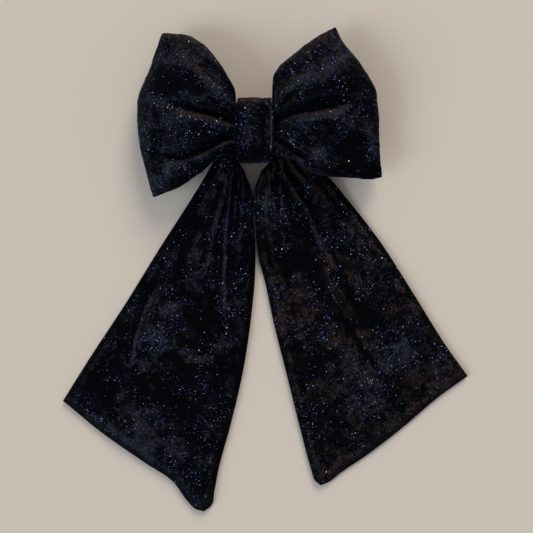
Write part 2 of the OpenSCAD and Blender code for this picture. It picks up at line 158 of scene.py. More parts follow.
def folds_height(xy, folds, scale, start=0.0):
    """Height of all the folds in a list, whose paths are drawn and then scaled."""
    return sum(fold(xy, np.array(path) * scale, width, height, lean, start, end)
               for path, width, height, lean, end in folds)


def cloud(points, scale, seed=0.0, detail=3):
    """Fractal noise from about -1 to 1 at points in millimetres. Scale is its largest feature's size."""
    shift = Vector((seed * 17.3, seed * 5.1, seed * 9.7))
    flat = points.reshape(-1, 3) / scale
    values = [noise.fractal(Vector(p) + shift, 1.0, 2.0, detail) for p in flat]
    return np.array(values).reshape(points.shape[:-1])


# ---------------------------------------------------------------- outlines, in drawn millimetres

LEFT_LOOP = {
    "upper": [(-12.6, 18.0), (-12.6, 24.2), (-17.9, 36), (-25, 47), (-34, 57.5), (-46.5, 66), (-57, 68.3),
              (-67.3, 69.6)],
    "lower": [(-13.4, -18.6), (-19.6, -19.6), (-27.5, -23), (-38.4, -32), (-55, -41.5), (-72.5, -46.2)],
    "end": [(-72.5, -46.2), (-78, -30), (-82.8, -11.6), (-84.6, 3.6), (-84.2, 23), (-78, 41), (-72, 57),
            (-67.3, 69.6)],
}
RIGHT_LOOP = {
    "upper": [(12.6, 18.0), (11.5, 24.2), (11.0, 32), (16.8, 43.5), (30, 55), (44.5, 66), (59.3, 73.8)],
    "lower": [(13.4, -18.6), (19.6, -18.8), (28, -22), (37.6, -29), (49, -32.5), (66.6, -34),
              (83, -34.6), (93, -33.2)],
    "end": [(93, -33.2), (91.5, -17.6), (90.6, -1.4), (90, 15.9), (87.2, 31.8), (79.5, 44.5), (67, 60),
            (59.3, 73.8)],
}
# Each tail leaves the band's open side along a short chord, outer end first
LEFT_TAIL = {
    "outer": [(-17.6, -3.2), (-28, -20), (-41.5, -42), (-68, -83), (-94.6, -126), (-118.7, -162.6),
              (-139, -195)],
    "inner": [(-12.9, -19), (-12.5, -22.6), (-9.8, -24.6), (-7.4, -28), (-5.3, -33.5), (-1.5, -43.5),
              (-0.5, -62), (0.8, -84), (0.7, -100), (-2.2, -133.6), (-7.9, -172), (-17.4, -213),
              (-26, -245), (-29, -261), (-30.6, -270), (-36.5, -275.4)],
    "end": [(-139, -195), (-111, -218), (-80, -239.7), (-58.4, -254.5), (-48.5, -268), (-43, -273.4),
            (-36.5, -275.4)],
}
RIGHT_TAIL = {
    "outer": [(17.6, -3.2), (36, -16), (52, -31), (71.5, -53.5), (88.8, -75.8), (115.3, -116.7),
              (139.4, -155.3), (154.9, -177)],
    "inner": [(12.9, -19), (12.5, -22.6), (9.0, -24.6), (5.6, -28), (3.1, -33.5), (-0.3, -43.5),
              (0.5, -62), (2.0, -84), (3.6, -94), (7.2, -107), (14, -138.4), (23.7, -177),
              (33.3, -215.6), (41.5, -246), (43.6, -252.5), (48, -256.4)],
    "end": [(154.9, -177), (134.6, -191.5), (105.6, -216), (81.5, -234.5), (61, -248.5), (54, -254),
            (48, -256.4)],
}

# Folds, in the order in which they were laid: path from the band outwards, width, height (negative
# for a crease), lean, and the share over which the end fades
LOOP_FOLDS = [
    ([(-11, 4), (-28, 9.5), (-44.4, 13.8), (-58, 17.3), (-68, 18.5)], 4.2, -10.5, 1.8, 0.4),
    ([(-11, -4), (-26, -9), (-40, -16.5), (-54, -20.5), (-71, -17)], 3.8, -9.5, 1.6, 0.3),
    ([(-12, 15), (-24, 25), (-33, 34), (-42, 42), (-50, 49)], 3.4, 3.0, 2.0, 0.5),
    ([(-13, 19), (-20, 32), (-29, 45)], 3.4, -4.0, 0.0, 0.6),
    ([(-12, -10), (-27, -19), (-42, -29), (-54, -36)], 3.6, -2.6, -0.6, 0.6),
    ([(-13, 9), (-30, 20), (-50, 30)], 7.0, -2.6, 0.0, 0.6),
    ([(11, 4), (28, 11), (42.5, 13.8), (60.6, 17.5), (79, 24.5)], 4.2, -10.5, -2.0, 0.35),
    ([(11, -5), (20, -9), (28, -14.2), (38, -20.5), (46, -25)], 3.2, -7.0, 1.6, 0.5),
    ([(12, 14), (24, 23.5), (38, 32.5), (52, 39)], 3.6, 2.6, 1.8, 0.6),
    ([(12, 18), (18, 33), (28, 47)], 3.2, -3.2, 0.0, 0.6),
    ([(11, 0), (30, -2), (50, -6)], 4.0, -3.4, 0.0, 0.7),
    ([(58, -2), (70, -8), (80, -16)], 4.4, -3.0, 0.8, 0.6),
    ([(66, 6), (76, -1), (86, -6)], 3.0, 1.4, 0.0, 0.5),
]
LEFT_TAIL_FOLDS = [
    ([(-19.5, -28), (-31, -50), (-41, -72)], 2.2, 1.6, 0.0, 0.6),
    ([(-17, -27), (-25, -55), (-33, -88), (-37, -120)], 2.8, 1.9, 0.3, 0.6),
    ([(-22, -32), (-37, -62), (-52, -88), (-55, -112)], 4.6, -2.4, 0.0, 0.6),
    ([(-15, -27), (-17.5, -50), (-20.5, -85), (-21.5, -125), (-20.5, -150)], 1.5, 1.7, -0.5, 0.6),
    ([(-13, -27), (-11, -50), (-12, -80)], 2.2, -1.6, 0.0, 0.7),
    ([(-70, -108), (-80, -128), (-88, -150), (-92, -172), (-98, -186)], 1.6, -1.0, 1.0, 0.5),
    ([(-60, -160), (-45, -170), (-31, -166), (-22, -152)], 5.0, -0.9, 0.5, 0.5),
    ([(-62, -120), (-52, -150), (-55, -180)], 9.0, 1.6, 0.0, 0.6),
    ([(-104, -190), (-80, -206), (-52, -218)], 8.0, 1.4, 0.0, 0.6),
]
RIGHT_TAIL_FOLDS = [
    ([(16.5, -27), (26, -38), (38, -55), (46, -75), (64, -106), (74, -120)], 2.0, 2.0, -0.6, 0.5),
    ([(15, -27), (17, -45), (17.5, -68)], 1.6, -1.9, 0.4, 0.6),
    ([(20, -27), (32, -38), (46, -62)], 2.4, -1.9, 0.0, 0.6),
    ([(26, -26), (44, -42), (60, -62)], 2.8, 1.6, 0.0, 0.6),
    ([(13, -27), (9.5, -50), (10, -80)], 2.4, 1.5, 0.0, 0.7),
    ([(56, -98), (74, -120), (95, -142), (108, -158)], 6.0, -2.4, 0.6, 0.5),
    ([(60, -128), (74, -148), (84, -163), (104, -190)], 1.8, -1.2, 1.1, 0.5),
    ([(30, -95), (38, -130), (50, -170)], 9.0, 1.5, 0.0, 0.6),
    ([(100, -150), (110, -175), (100, -200)], 8.0, 1.3, 0.0, 0.6),
]

# Soft spots of painted sheen and shade: x, y, half length, half width, angle and strength. The spots follow
# the crushed pile's patches and the folds. In the sheen-and-shade lists a spot is painted sheen or highlight
# where its strength is positive and painted shade where it is negative; in the warm-light lists a spot is
# tinted brown by the warm lamp or blue by the window.
LOOP_SHEEN_AND_SHADE = [
    (-64, 54, 14, 10, 0, 0.45), (-35, 36, 26, 5, -45, 0.9), (-69, 21, 14, 4.5, -5, 1.0),
    (-40, 12, 24, 3, -8, 0.5), (-59, 32, 17, 9, 0, -1.1), (-48, -3, 22, 6, 0, -1.0), (-70, 7, 12, 5, 0, 0.4),
    (-59, -27, 12, 7, 20, 1.0), (-43, -29, 20, 4, 30, -0.9), (-74, -36, 6, 10, 0, 0.4),
    (-18, 24, 6, 12, 0, -0.7), (46, 38, 40, 7, 34, 0.9), (48, 25, 38, 6, 26, -1.2), (60, 62, 12, 10, 0, 0.3),
    (33, 52, 16, 5, 40, -0.3), (58, 19, 30, 3.5, 12, 0.9), (70, 7, 20, 8, 0, 0.5), (85, -4, 14, 5, -75, 1.1),
    (45, -17, 16, 7, -12, 1.0), (71, -12, 10, 8, 0, -1.3), (66, -28, 30, 4, 0, -0.7), (20, 1, 8, 8, 0, -0.5),
]
LOOP_WARM_LIGHT = [
    (-64, 60, 14, 10, 0, 0.5), (-38, 38, 22, 5, -45, 0.35), (-46, 12, 22, 4, -8, 0.5),
    (33, 52, 20, 8, 40, 0.6), (68, 22, 20, 3, 12, 0.6),
]
LEFT_TAIL_SHEEN_AND_SHADE = [
    (-41, -85, 17, 6, 80, 1.0), (-71, -152, 32, 13, 75, 0.75), (-46, -161, 9, 4, -40, 1.0),
    (-38, -166, 9, 4, 5, 1.1), (-27, -158, 12, 5, 45, 0.9), (-40, -140, 18, 15, 0, -1.4),
    (-82, -147, 42, 2, 70, 0.6), (-22, -82, 40, 2.4, 88, 0.9), (-75, -226, 34, 16, -35, 0.65),
    (-57, -185, 28, 13, 0, -1.0), (-40, -253, 20, 12, 0, -0.6), (-117, -186, 20, 12, 0, -0.5),
    (-50, -90, 24, 5, 78, -0.9), (-12, -114, 22, 7, 85, 0.4), (-30, -45, 16, 4, 65, 0.4),
]
LEFT_TAIL_WARM_LIGHT = [
    (-38, -164, 20, 8, 15, 1.0), (-12, -114, 16, 6, 85, 0.4), (-41, -75, 14, 5, 80, 0.3),
]
RIGHT_TAIL_SHEEN_AND_SHADE = [
    (12, -55, 14, 6, 80, 0.8), (33, -59, 10, 8, 0, -0.5), (33, -94, 14, 10, 0, -1.1),
    (71, -131, 20, 8, -40, -1.5), (47, -108, 14, 7, -50, -0.8), (87, -120, 10, 7, 0, -0.6),
    (42, -172, 10, 9, 0, -0.9), (51, -210, 12, 9, 0, -0.9), (126, -153, 12, 7, 0, -0.6),
    (106, -180, 12, 6, 0, -0.6), (105, -157, 18, 9, -60, 0.3), (88, -195, 12, 8, 0, 0.4),
    (78, -170, 14, 9, 0, 0.3), (64, -118, 34, 2.4, -60, 0.8), (16, -120, 10, 20, 0, 0.4),
    (80, -225, 20, 5, 35, -0.5),
]
RIGHT_TAIL_WARM_LIGHT = [
    (12, -55, 16, 8, 80, -0.7), (105, -157, 20, 12, -60, -0.7), (88, -195, 15, 10, 0, -0.7),
    (74, -165, 16, 12, 0, -0.4), (35, -58, 12, 10, 0, -0.4),
]


def spots(xy, drawn):
    """Total strength of a list of spots at each point."""
    total = np.zeros(xy.shape[:-1])
    for x, y, long, wide, angle, strength in drawn:
        turn = math.radians(angle)
        along = (xy[..., 0] - x) * math.cos(turn) + (xy[..., 1] - y) * math.sin(turn)
        beside = (xy[..., 1] - y) * math.cos(turn) - (xy[..., 0] - x) * math.sin(turn)
        total += strength * np.exp(-(along / long) ** 2 - (beside / wide) ** 2)
    return total


# ---------------------------------------------------------------- settings


def length_setting(name, description, default, least, most):
    return bpy.props.FloatProperty(name=name, description=description, default=default,
                                   min=least, max=most, unit="LENGTH")


def colour_setting(name, description, default):
    return bpy.props.FloatVectorProperty(name=name, description=description, default=default,
                                         min=0.0, max=1.0, subtype="COLOR")


class BowShape(bpy.types.PropertyGroup):
    """Sizes of the cloth."""

    loop_puff: length_setting(
        "Loop puff", "How far the loops stand out from their seam", 0.0185, 0.008, 0.03)
    crease_depth: bpy.props.FloatProperty(
        name="Crease depth", description="Depth of the folds as a share of their drawn depth",
        default=1.0, min=0.0, max=1.5, subtype="FACTOR")
    tail_thickness: length_setting(
        "Tail thickness", "Thickness of the double layer of a tail", 0.0038, 0.002, 0.006)
    swell_limit: length_setting(
        "Swell limit", "How far the cloth may move when the loops are blown up", 0.0045, 0.001, 0.012)
    crumple: length_setting(
        "Crumple", "Height of the small dents and wrinkles of handled velvet", 0.0007, 0.0, 0.003)


class BowFinish(bpy.types.PropertyGroup):
    """Colours of the cloth and of its painted sheen, the glitter and the metal."""

    velvet_colour: colour_setting(
        "Velvet", "Colour of the pile seen end on", (0.0010, 0.0012, 0.0022))
    # Colours of painted sheen: blue-grey where the pile is painted as lit by the window, brown where it is
    # painted as lit by the warm lamp
    cool_window_sheen: colour_setting(
        "Cool nap", "Colour of pile that leans towards the window", (0.028, 0.036, 0.050))
    warm_lamp_sheen: colour_setting(
        "Warm nap", "Colour of pile that leans the other way", (0.039, 0.0265, 0.022))
    glitter_size: length_setting(
        "Glitter size", "Width of a glitter dot", 0.00038, 0.0003, 0.0015)
    glitter_spacing: length_setting(
        "Glitter spacing", "Usual distance between glitter dots", 0.0016, 0.001, 0.006)
    nickel_colour: colour_setting(
        "Nickel", "Colour of the plated clip", (0.62, 0.61, 0.59))


class BowStage(bpy.types.PropertyGroup):
    """Where the bow is shown."""

    floor_colour: colour_setting(
        "Floor", "Colour of the surface that the bow lies on", (0.69, 0.63, 0.56))
    camera_height: length_setting(
        "Camera height", "Height of the camera over the floor", 1.5, 0.4, 4.0)
    view_width: length_setting(
        "View width", "Width of the floor that the camera sees", 0.3875, 0.2, 1.0)


# ---------------------------------------------------------------- meshes


def wrapped(top, bottom):
    """Rings of points that run along the top and back along the bottom. The two meet at their ends."""
    return np.concatenate([top, bottom[..., -2:0:-1, :]], axis=-2)


def closed_rows(rows, hoop=False):
    """A mesh from rows of points, each of which is a ring. In a hoop, the last row joins the first."""
    count, ring = rows.shape[:2]
    at = np.arange(count * ring).reshape(count, ring)
    if hoop:
        at = np.vstack([at, at[:1]])
    beside = np.roll(at, -1, axis=1)
    faces = np.stack([at[:-1], beside[:-1], beside[1:], at[1:]], axis=-1).reshape(-1, 4)
    mesh = bpy.data.meshes.new("cloth")
    mesh.from_pydata((rows.reshape(-1, 3) * MM).tolist(), [], faces.tolist())
    tidy(mesh)
    return mesh


def capped_rows(rows):
    """A closed mesh from rows of points, each of which is a ring, with its two ends filled."""
    mesh = closed_rows(rows)
    bm = bmesh.new()
    bm.from_mesh(mesh)
    bmesh.ops.holes_fill(bm, edges=[e for e in bm.edges if e.is_boundary], sides=0)
    bmesh.ops.triangulate(bm, faces=[f for f in bm.faces if len(f.verts) > 4])
    face_outwards(bm)
    bm.to_mesh(mesh)
    bm.free()
    return mesh


def face_outwards(bm):
    bmesh.ops.recalc_face_normals(bm, faces=bm.faces)
    if bm.calc_volume(signed=True) < 0:
        bmesh.ops.reverse_faces(bm, faces=bm.faces)


def tidy(mesh):
    """Merges doubles, turns the faces outwards and makes them smooth."""
    bm = bmesh.new()
    bm.from_mesh(mesh)
    bmesh.ops.remove_doubles(bm, verts=bm.verts, dist=2e-6)
    bmesh.ops.dissolve_degenerate(bm, edges=bm.edges, dist=1e-7)
    face_outwards(bm)
    bm.to_mesh(mesh)
    bm.free()
    for polygon in mesh.polygons:
        polygon.use_smooth = True


def in_scene(name, data):
    """A new object, linked to the scene."""
    item = bpy.data.objects.new(name, data)
    bpy.context.scene.collection.objects.link(item)
    return item


def add_piece(name, mesh, material):
    mesh.name = name
    mesh.materials.clear()
    mesh.materials.append(material)
    return in_scene(name, mesh)


def evaluated_mesh(piece):
    bpy.context.view_layer.update()
    depsgraph = bpy.context.evaluated_depsgraph_get()
    return bpy.data.meshes.new_from_object(piece.evaluated_get(depsgraph))


def read(items, key, width, kind):
    """The numbers that a mesh stores under this key for each of its vertices or edges."""
    values = np.empty(len(items) * width, kind)
    items.foreach_get(key, values)
    return values.reshape(-1, width)


def coordinates(mesh):
    return read(mesh.vertices, "co", 3, float) / MM


def normals(mesh):
    return read(mesh.vertices, "normal", 3, np.float32).astype(float)


def move_to(mesh, points):
    mesh.vertices.foreach_set("co", (points * MM).ravel())
    mesh.update()


def set_attribute(mesh, name, values, kind="FLOAT", key="value"):
    attribute = mesh.attributes.get(name) or mesh.attributes.new(name, kind, "POINT")
    attribute.data.foreach_set(key, np.asarray(values, np.float32).ravel())


def crumple(mesh, height, seed):
    """Soft dents and small wrinkles of handled cloth, pushed along the surface's own normals."""
    points = coordinates(mesh)
    push = cloud(points, 24, seed, 2) + 0.35 * cloud(points, 9, seed + 3, 2)
    ridged = 1 - np.abs(cloud(points, 18, seed + 6, 2)) * 3.5
    push += 0.45 * np.clip(ridged, 0, 1) ** 2
    move_to(mesh, points + normals(mesh) * (push * height / MM)[:, None])


def relief(mesh, passes=40):
    """Height of each vertex over the surface around it, in millimetres. More passes look further."""
    points = coordinates(mesh)
    a, b = read(mesh.edges, "vertices", 2, np.int32).T
    size = len(points)
    count = (np.bincount(a, minlength=size) + np.bincount(b, minlength=size)).clip(1)[:, None]
    even = points
    for _ in range(passes):
        total = np.column_stack([np.bincount(a, even[b, k], size) + np.bincount(b, even[a, k], size)
                                 for k in range(3)])
        even = 0.5 * even + 0.5 * total / count
    return np.einsum("ij,ij->i", points - even, normals(mesh))


def paint_sheen_and_shade(mesh, patches, warmth, seed, strength=1.0, window=0.35, gleam=0.0, glitter=1.0):
    """Paints sheen and shade into attributes, and stores where each vertex lies at rest, so that the pattern
    stays on cloth that moves. Slopes that face the lamp or the window, and ridges, get painted sheen and
    highlights, tinted brown towards the lamp and blue towards the window. Cloth that faces straight up gets
    none, and slopes that face away from the lamp and the window, and folds, get painted shade. Glitter is
    scattered more thickly on the painted sheen and on slopes that face the lamp."""
    points = coordinates(mesh)
    right, up, front = normals(mesh).T
    to_lamp = smooth(0.36, 0.95, up + 0.12 * right)
    to_window = smooth(0.2, 0.85, -0.8 * right - 0.6 * up)
    away = smooth(0.1, 0.7, 0.8 * right - 0.6 * up)
    height = strength * relief(mesh)
    ridge = smooth(0.1, 0.9, height) * smooth(0.6, 0.92, front)
    valley = smooth(0.08, 0.7, -height)
    shown = to_lamp + window * to_window + 0.25 * ridge - 0.6 * valley + gleam
    sparkle = 0.65 + 1.8 * cloud(points, 20, seed, 3) + 0.45 * np.clip(patches, -1, 1) + 0.5 * to_lamp
    set_attribute(mesh, "place", read(mesh.vertices, "co", 3, np.float32), "FLOAT_VECTOR", "vector")
    # Painted sheen and shade: the crushed patches painted as sheen, painted shade on slopes that face away
    # from the lamps and in valleys, and a painted highlight on ridges
    set_attribute(mesh, "nap", patches - 0.5 * away + 0.5 * ridge - 1.2 * valley)
    # Painted highlight on slopes that face the lamp or the window and on ridges, and painted shade in folds
    set_attribute(mesh, "gleam", np.clip(shown, 0, 1))
    # Share of the painted sheen that is tinted brown by the warm lamp rather than blue by the window
    set_attribute(mesh, "warmth", np.clip(warmth + 0.7 * to_lamp - 0.5 * to_window, 0, 1))
    set_attribute(mesh, "sparkle", glitter * np.clip(sparkle, 0.15, 2.6))


def subdivided(mesh):
    """The mesh after one level of subdivision."""
    helper = in_scene("helper", mesh)
    modifier = helper.modifiers.new("Subdivision", "SUBSURF")
    modifier.levels = modifier.render_levels = 1
    finer = evaluated_mesh(helper)
    bpy.data.objects.remove(helper)
    return finer


# Length of the cloth simulation, in frames, and its settings
SWELL_FRAMES = 20
SWELLING = {
    "quality": 6, "mass": 0.15, "tension_stiffness": 12, "compression_stiffness": 12, "shear_stiffness": 4,
    "bending_stiffness": 0.15, "use_pressure": True, "uniform_pressure_force": 4, "shrink_min": -0.035,
    "vertex_group_mass": "held", "pin_stiffness": 1,
}


def blown_up(mesh, held, limit):
    """The mesh after its cloth is blown up by a cloth simulation. Held is each vertex's hold, from 0 to 1.
    No vertex moves further than the limit."""
    rest = coordinates(mesh)
    helper = in_scene("helper", mesh)
    group = helper.vertex_groups.new(name="held")
    for index, weight in enumerate(held):
        if weight > 0:
            group.add([index], float(weight), "REPLACE")
    cloth = helper.modifiers.new("Cloth", "CLOTH")
    for key, value in SWELLING.items():
        setattr(cloth.settings, key, value)
    cloth.settings.effector_weights.gravity = 0
    cloth.collision_settings.use_collision = False
    for number in range(1, SWELL_FRAMES + 1):
        bpy.context.scene.frame_set(number)
    result = evaluated_mesh(helper)
    bpy.data.objects.remove(helper)
    bpy.context.scene.frame_set(1)
    move = coordinates(result) - rest
    distance = np.linalg.norm(move, axis=1, keepdims=True)
    cap = limit / MM
    eased = np.minimum(1, cap * np.tanh(distance / cap) / np.maximum(distance, 1e-9))
    move_to(result, rest + move * eased)
    return result


# ---------------------------------------------------------------- cloth in general


def cloth_plan(outline, first, second, s, v, late=1):
    """Plan of cloth inside an outline: s runs out from the band, and v from the first edge to the second.
    The higher late is, the further out the shape of the end shows."""
    end = np.array(outline["end"])
    bulge = spline(end, v) - mix(end[0], end[-1], v[..., None])
    between = mix(spline(outline[first], s), spline(outline[second], s), v[..., None])
    return between + (s ** late)[..., None] * bulge


def pleats(v, seed, count=6):
    """Gathered pleats across v, from -1 to 1, unevenly spaced."""
    turn = 2 * np.pi * v
    drift = 0.06 * np.sin(2.3 * turn + seed) + 0.04 * np.sin(3.9 * turn + 2 * seed)
    wave = np.cos(2 * np.pi * count * (v + drift))
    return np.sign(wave) * np.abs(wave) ** 0.8 * (0.65 + 0.35 * np.sin(9 * v + seed))


# ---------------------------------------------------------------- loops

LOOP_STEPS = 64
LOOP_ACROSS = 68
WAIST_STEPS = 12
# Share of the folds' depth that the loops have before they are blown up
BEFORE_SWELLING = 0.55
# Heights of the seam at the outer corners
LOWER_TIP_Z = 9.0
UPPER_TIP_Z = 14.0
# Folds deeper than this get painted shade at the bottom and a painted highlight on the edge below
DEEP_FOLD = -5.0


def loop_heights(xy, s, v, seed, shape):
    """Heights of the front and the back of a loop, and of the seam between them."""
    seam = mix(SEAM_Z, mix(LOWER_TIP_Z, UPPER_TIP_Z, v), s ** 2.4)
    across = np.maximum(0, 1 - np.abs(2 * v - 1) ** 2.5) ** 0.58
    full = across * np.sqrt(np.maximum(0, 1 - s ** 5))
    waist = WAIST_HALF_T - 0.3
    front = full * mix(waist, shape.loop_puff / MM, np.sin(np.pi / 2 * np.clip(s / 0.5, 0, 1)))
    depth = BEFORE_SWELLING * shape.crease_depth * folds_height(xy, LOOP_FOLDS, LOOP_SCALE)
    depth = depth + 0.9 * pleats(v, seed) * np.exp(-(s / 0.16) ** 2)
    front = front + depth * np.clip(front / 9, 0, 1)
    # The tails pass under the lower part of a loop, so only the back of its upper part reaches down
    deep = mix(WAIST_HALF_T - 1.6, SEAM_Z - STRIP_LOW[2] - 1.0, smooth(0.45, 0.7, v))
    back = full * mix(waist, deep, smooth(0, 0.3, s)) * mix(1, 0.55, smooth(0.4, 1, s))
    gather = 0.5 * (1 + pleats(v, seed + 2)) * np.exp(-(s / 0.2) ** 2)
    back = back - gather * np.clip(back / 6, 0, 1)
    return seam + np.maximum(front, 0.2 * across), seam - np.maximum(back, 0.1 * across), seam


def crease_light(drawn):
    """Where the bottom of a deep fold gets painted shade, and where the edge below it gets a painted
    highlight.
    """
    crease_shade, lit = np.zeros(len(drawn)), np.zeros(len(drawn))
    for path, _, height, _, end in LOOP_FOLDS:
        if height > DEEP_FOLD:
            continue
        distance, share = along_path(drawn, np.array(path))
        below = distance * np.sign(path[-1][0])
        taper = 1 - smooth(1 - 0.7 * end, 1, share)
        crease_shade += taper * np.exp(-((below - 0.3) / 1.3) ** 2)
        lit += taper * smooth(0.0, 0.15, share) * np.exp(-((below + 2.3) / 0.95) ** 2)
    return crease_shade, lit


def crease_loops(mesh, share):
    """Presses a share of the folds' depth into the fronts of the loops."""
    points = coordinates(mesh)
    facing = smooth(0.0, 0.45, normals(mesh)[:, 2])
    room = np.clip((points[:, 2] - SEAM_Z + 4) / 12, 0, 1)
    points[:, 2] += share * folds_height(points[:, :2], LOOP_FOLDS, LOOP_SCALE) * facing * room
    move_to(mesh, points)


def loop_column(loop, s, v, seed, shape):
    """One ring of points round a loop at s: up its front and down its back."""
    share = np.full_like(v, s)
    xy = cloth_plan(loop, "lower", "upper", share, v) * LOOP_SCALE
    front, back, seam = loop_heights(xy, share, v, seed, shape)
    front[[0, -1]] = back[[0, -1]] = seam[[0, -1]]
    if s >= 1:
        front = back = seam
    return wrapped(np.column_stack([xy, front]), np.column_stack([xy, back]))


def keep_in_band(mesh):
    """Keeps the gathered waist inside the band's hollow and inside its thread."""
    points = coordinates(mesh)
    across = np.abs(points[:, 0])
    # The hollow is narrower across Y, where the band's corners are, than across Z
    for axis, middle, reach, share in ((1, 0.0, WAIST_HALF_Y, CORNER_SQUEEZE),
                                       (2, SEAM_Z, WAIST_HALF_T, FRONT_FLARE + 0.01)):
        inside = 1 - smooth(share * BAND_HALF, share * BAND_HALF + 1.4, across)
        held = np.clip(points[:, axis], middle - reach, middle + reach)
        points[:, axis] = mix(points[:, axis], held, inside)
    move_to(mesh, points)


def make_loops(shape, material):
    even = np.linspace(0, 1, LOOP_ACROSS + 1)
    v = mix(even, 0.5 - 0.5 * np.cos(np.pi * even), 0.55)
    steps = np.linspace(0, 1, LOOP_STEPS + 1)
    steps = mix(steps, np.sin(np.pi / 2 * steps), 0.4)
    left = [loop_column(LEFT_LOOP, s, v, 0.7, shape) for s in steps[::-1]]
    right = [loop_column(RIGHT_LOOP, s, v, 2.9, shape) for s in steps]
    waist = [mix(left[-1], right[0], t) for t in np.linspace(0, 1, WAIST_STEPS)[1:-1]]
    mesh = closed_rows(np.array(left + waist + right))
    held = 1 - smooth(0.5, 9, np.abs(coordinates(mesh)[:, 0]) - BAND_HALF)
    mesh = blown_up(mesh, held, shape.swell_limit)
    keep_in_band(mesh)
    mesh = subdivided(mesh)
    crease_loops(mesh, (1 - BEFORE_SWELLING) * shape.crease_depth)
    crumple(mesh, shape.crumple, 1.0)
    keep_in_band(mesh)
    drawn = coordinates(mesh)[:, :2] / LOOP_SCALE
    crease_shade, lit = crease_light(drawn)
    front = normals(mesh)[:, 2] > 0
    # Painted shade at the bottoms of deep folds and a painted highlight on their lower edges, on the loops'
    # fronts; the lit edges are also tinted by the warm lamp
    patches = spots(drawn, LOOP_SHEEN_AND_SHADE) - 0.22 - 2.2 * crease_shade * front
    warmth = 0.1 + spots(drawn, LOOP_WARM_LIGHT) + 0.3 * lit
    gleam = (0.38 * lit - crease_shade) * front
    paint_sheen_and_shade(mesh, patches, warmth, 2.0, strength=0.8, gleam=gleam, glitter=1.25)
    piece = add_piece("padded_loops", mesh, material)
    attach(piece, "bow")
    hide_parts("loop_front_panel", "loop_back_panel", "left_loop_filling", "right_loop_filling")
    return piece


# ---------------------------------------------------------------- tails

TAIL_STEPS = 150
TAIL_ACROSS = 96
TAIL_FLOOR = 0.3
TAIL_HEAD_Z = STRIP_LOW[2] - 0.3
# Share of a tail's length at which it has come down to the floor
LANDING = 0.36
# Shares of a tail's length between which it comes out from under the loops, and its ceiling out there
UNDER_LOOPS = (0.10, 0.22)
OPEN_AIR_Z = 60.0
# How far each of the hidden rings of a tail's head reaches into the band
HEAD_STEPS = (6.2, 4.2, 2.2)

# Each tail's base share of sheen painted in the warm lamp's brown rather than the window's blue, and its
# spots of painted sheen, highlight and shade
TAILS = {
    "left": {
        "outline": LEFT_TAIL, "folds": LEFT_TAIL_FOLDS, "nap": LEFT_TAIL_SHEEN_AND_SHADE, "warm_light_spots": LEFT_TAIL_WARM_LIGHT,
        "warmth": 0.05, "seed": 1.3, "flat": (0.130, 0.250), "area": 0.0233,
    },
    "right": {
        "outline": RIGHT_TAIL, "folds": RIGHT_TAIL_FOLDS, "nap": RIGHT_TAIL_SHEEN_AND_SHADE,
        "warm_light_spots": RIGHT_TAIL_WARM_LIGHT, "warmth": 0.85, "seed": 4.1, "flat": (0.134, 0.250), "area": 0.0240,
    },
}


def tail_height(xy, s, v, tail, shape):
    """Height of a tail's folds, gathers and loose waves over its flat shape."""
    seed = tail["seed"]
    level = np.dstack([xy, 0 * s])
    height = shape.crease_depth * folds_height(xy, tail["folds"], TAIL_SCALE, 0.12)
    height += 1.6 * np.exp(-(s / 0.22) ** 2) * smooth(0.0, 0.06, s) * (1 + pleats(v, seed, 5))
    height += 0.55 * np.exp(-(s / 0.6) ** 2) * smooth(0.05, 0.2, s) * (1 + pleats(v, seed + 1, 4))
    height += 0.9 * smooth(0.2, 0.5, s) * (1 + cloud(level, 52, seed, 2))
    height += 0.5 * smooth(0.12, 0.3, s) * (1 + cloud(level, 20, seed + 4, 2))
    return height


def tail_rows(tail, shape):
    """Rings of points of a tail: across its front from the outer edge and back across its underside."""
    outline = tail["outline"]
    u = np.linspace(0, 1, TAIL_ACROSS + 1)
    v = mix(u, 0.5 - 0.5 * np.cos(np.pi * u), 0.75)
    s = np.linspace(0, 1, TAIL_STEPS + 1) ** 1.25
    s = mix(s, np.sin(np.pi / 2 * s), 0.45)
    s, v = np.meshgrid(s, v, indexing="ij")
    xy = cloth_plan(outline, "outer", "inner", s, v, 3) * TAIL_SCALE
    width = np.linalg.norm(xy[:, -1] - xy[:, 0], axis=1)[:, None]
    length = np.linalg.norm(np.subtract(outline["outer"][-1], outline["outer"][0]))
    thick = shape.tail_thickness / MM
    rim = np.minimum(np.minimum(v, 1 - v) * width, (1 - s) * length)
    half = thick / 2 * quarter_round(rim / (1.5 * thick))
    height = np.maximum(tail_height(xy, s, v, tail, shape), -0.4 * thick)
    middle = mix(TAIL_HEAD_Z, TAIL_FLOOR, smooth(0.03, LANDING, s)) + thick / 2
    lift = smooth(0, 6, rim)
    front = middle + half + height * lift
    back = np.maximum(middle - half + 0.55 * np.maximum(height, 0) * lift, TAIL_FLOOR)
    edge = rim <= 1e-6
    ceiling = mix(STRIP_HIGH[2] + 0.4, OPEN_AIR_Z, smooth(*UNDER_LOOPS, s))
    front = np.minimum(np.where(edge, middle, front), ceiling)
    back = np.minimum(np.where(edge, middle, back), front)
    rows = wrapped(np.dstack([xy, front]), np.dstack([xy, back]))
    centre = rows[0].mean(axis=0)
    inside = []
    for k, step in enumerate(HEAD_STEPS):
        # The innermost ring is flat, and so closes the head
        row = centre + (rows[0] - centre) * np.array([1, 0.94, 1 if k else 0])
        row[:, 0] -= np.sign(centre[0]) * step
        inside.append(row)
    return np.concatenate([np.array(inside), rows])


def quarter_round(share):
    """A rounded edge: rises from 0 at the edge to 1 where the share is 1."""
    return np.sqrt(np.clip(1 - (1 - np.clip(share, 0, 1)) ** 2, 0, 1))


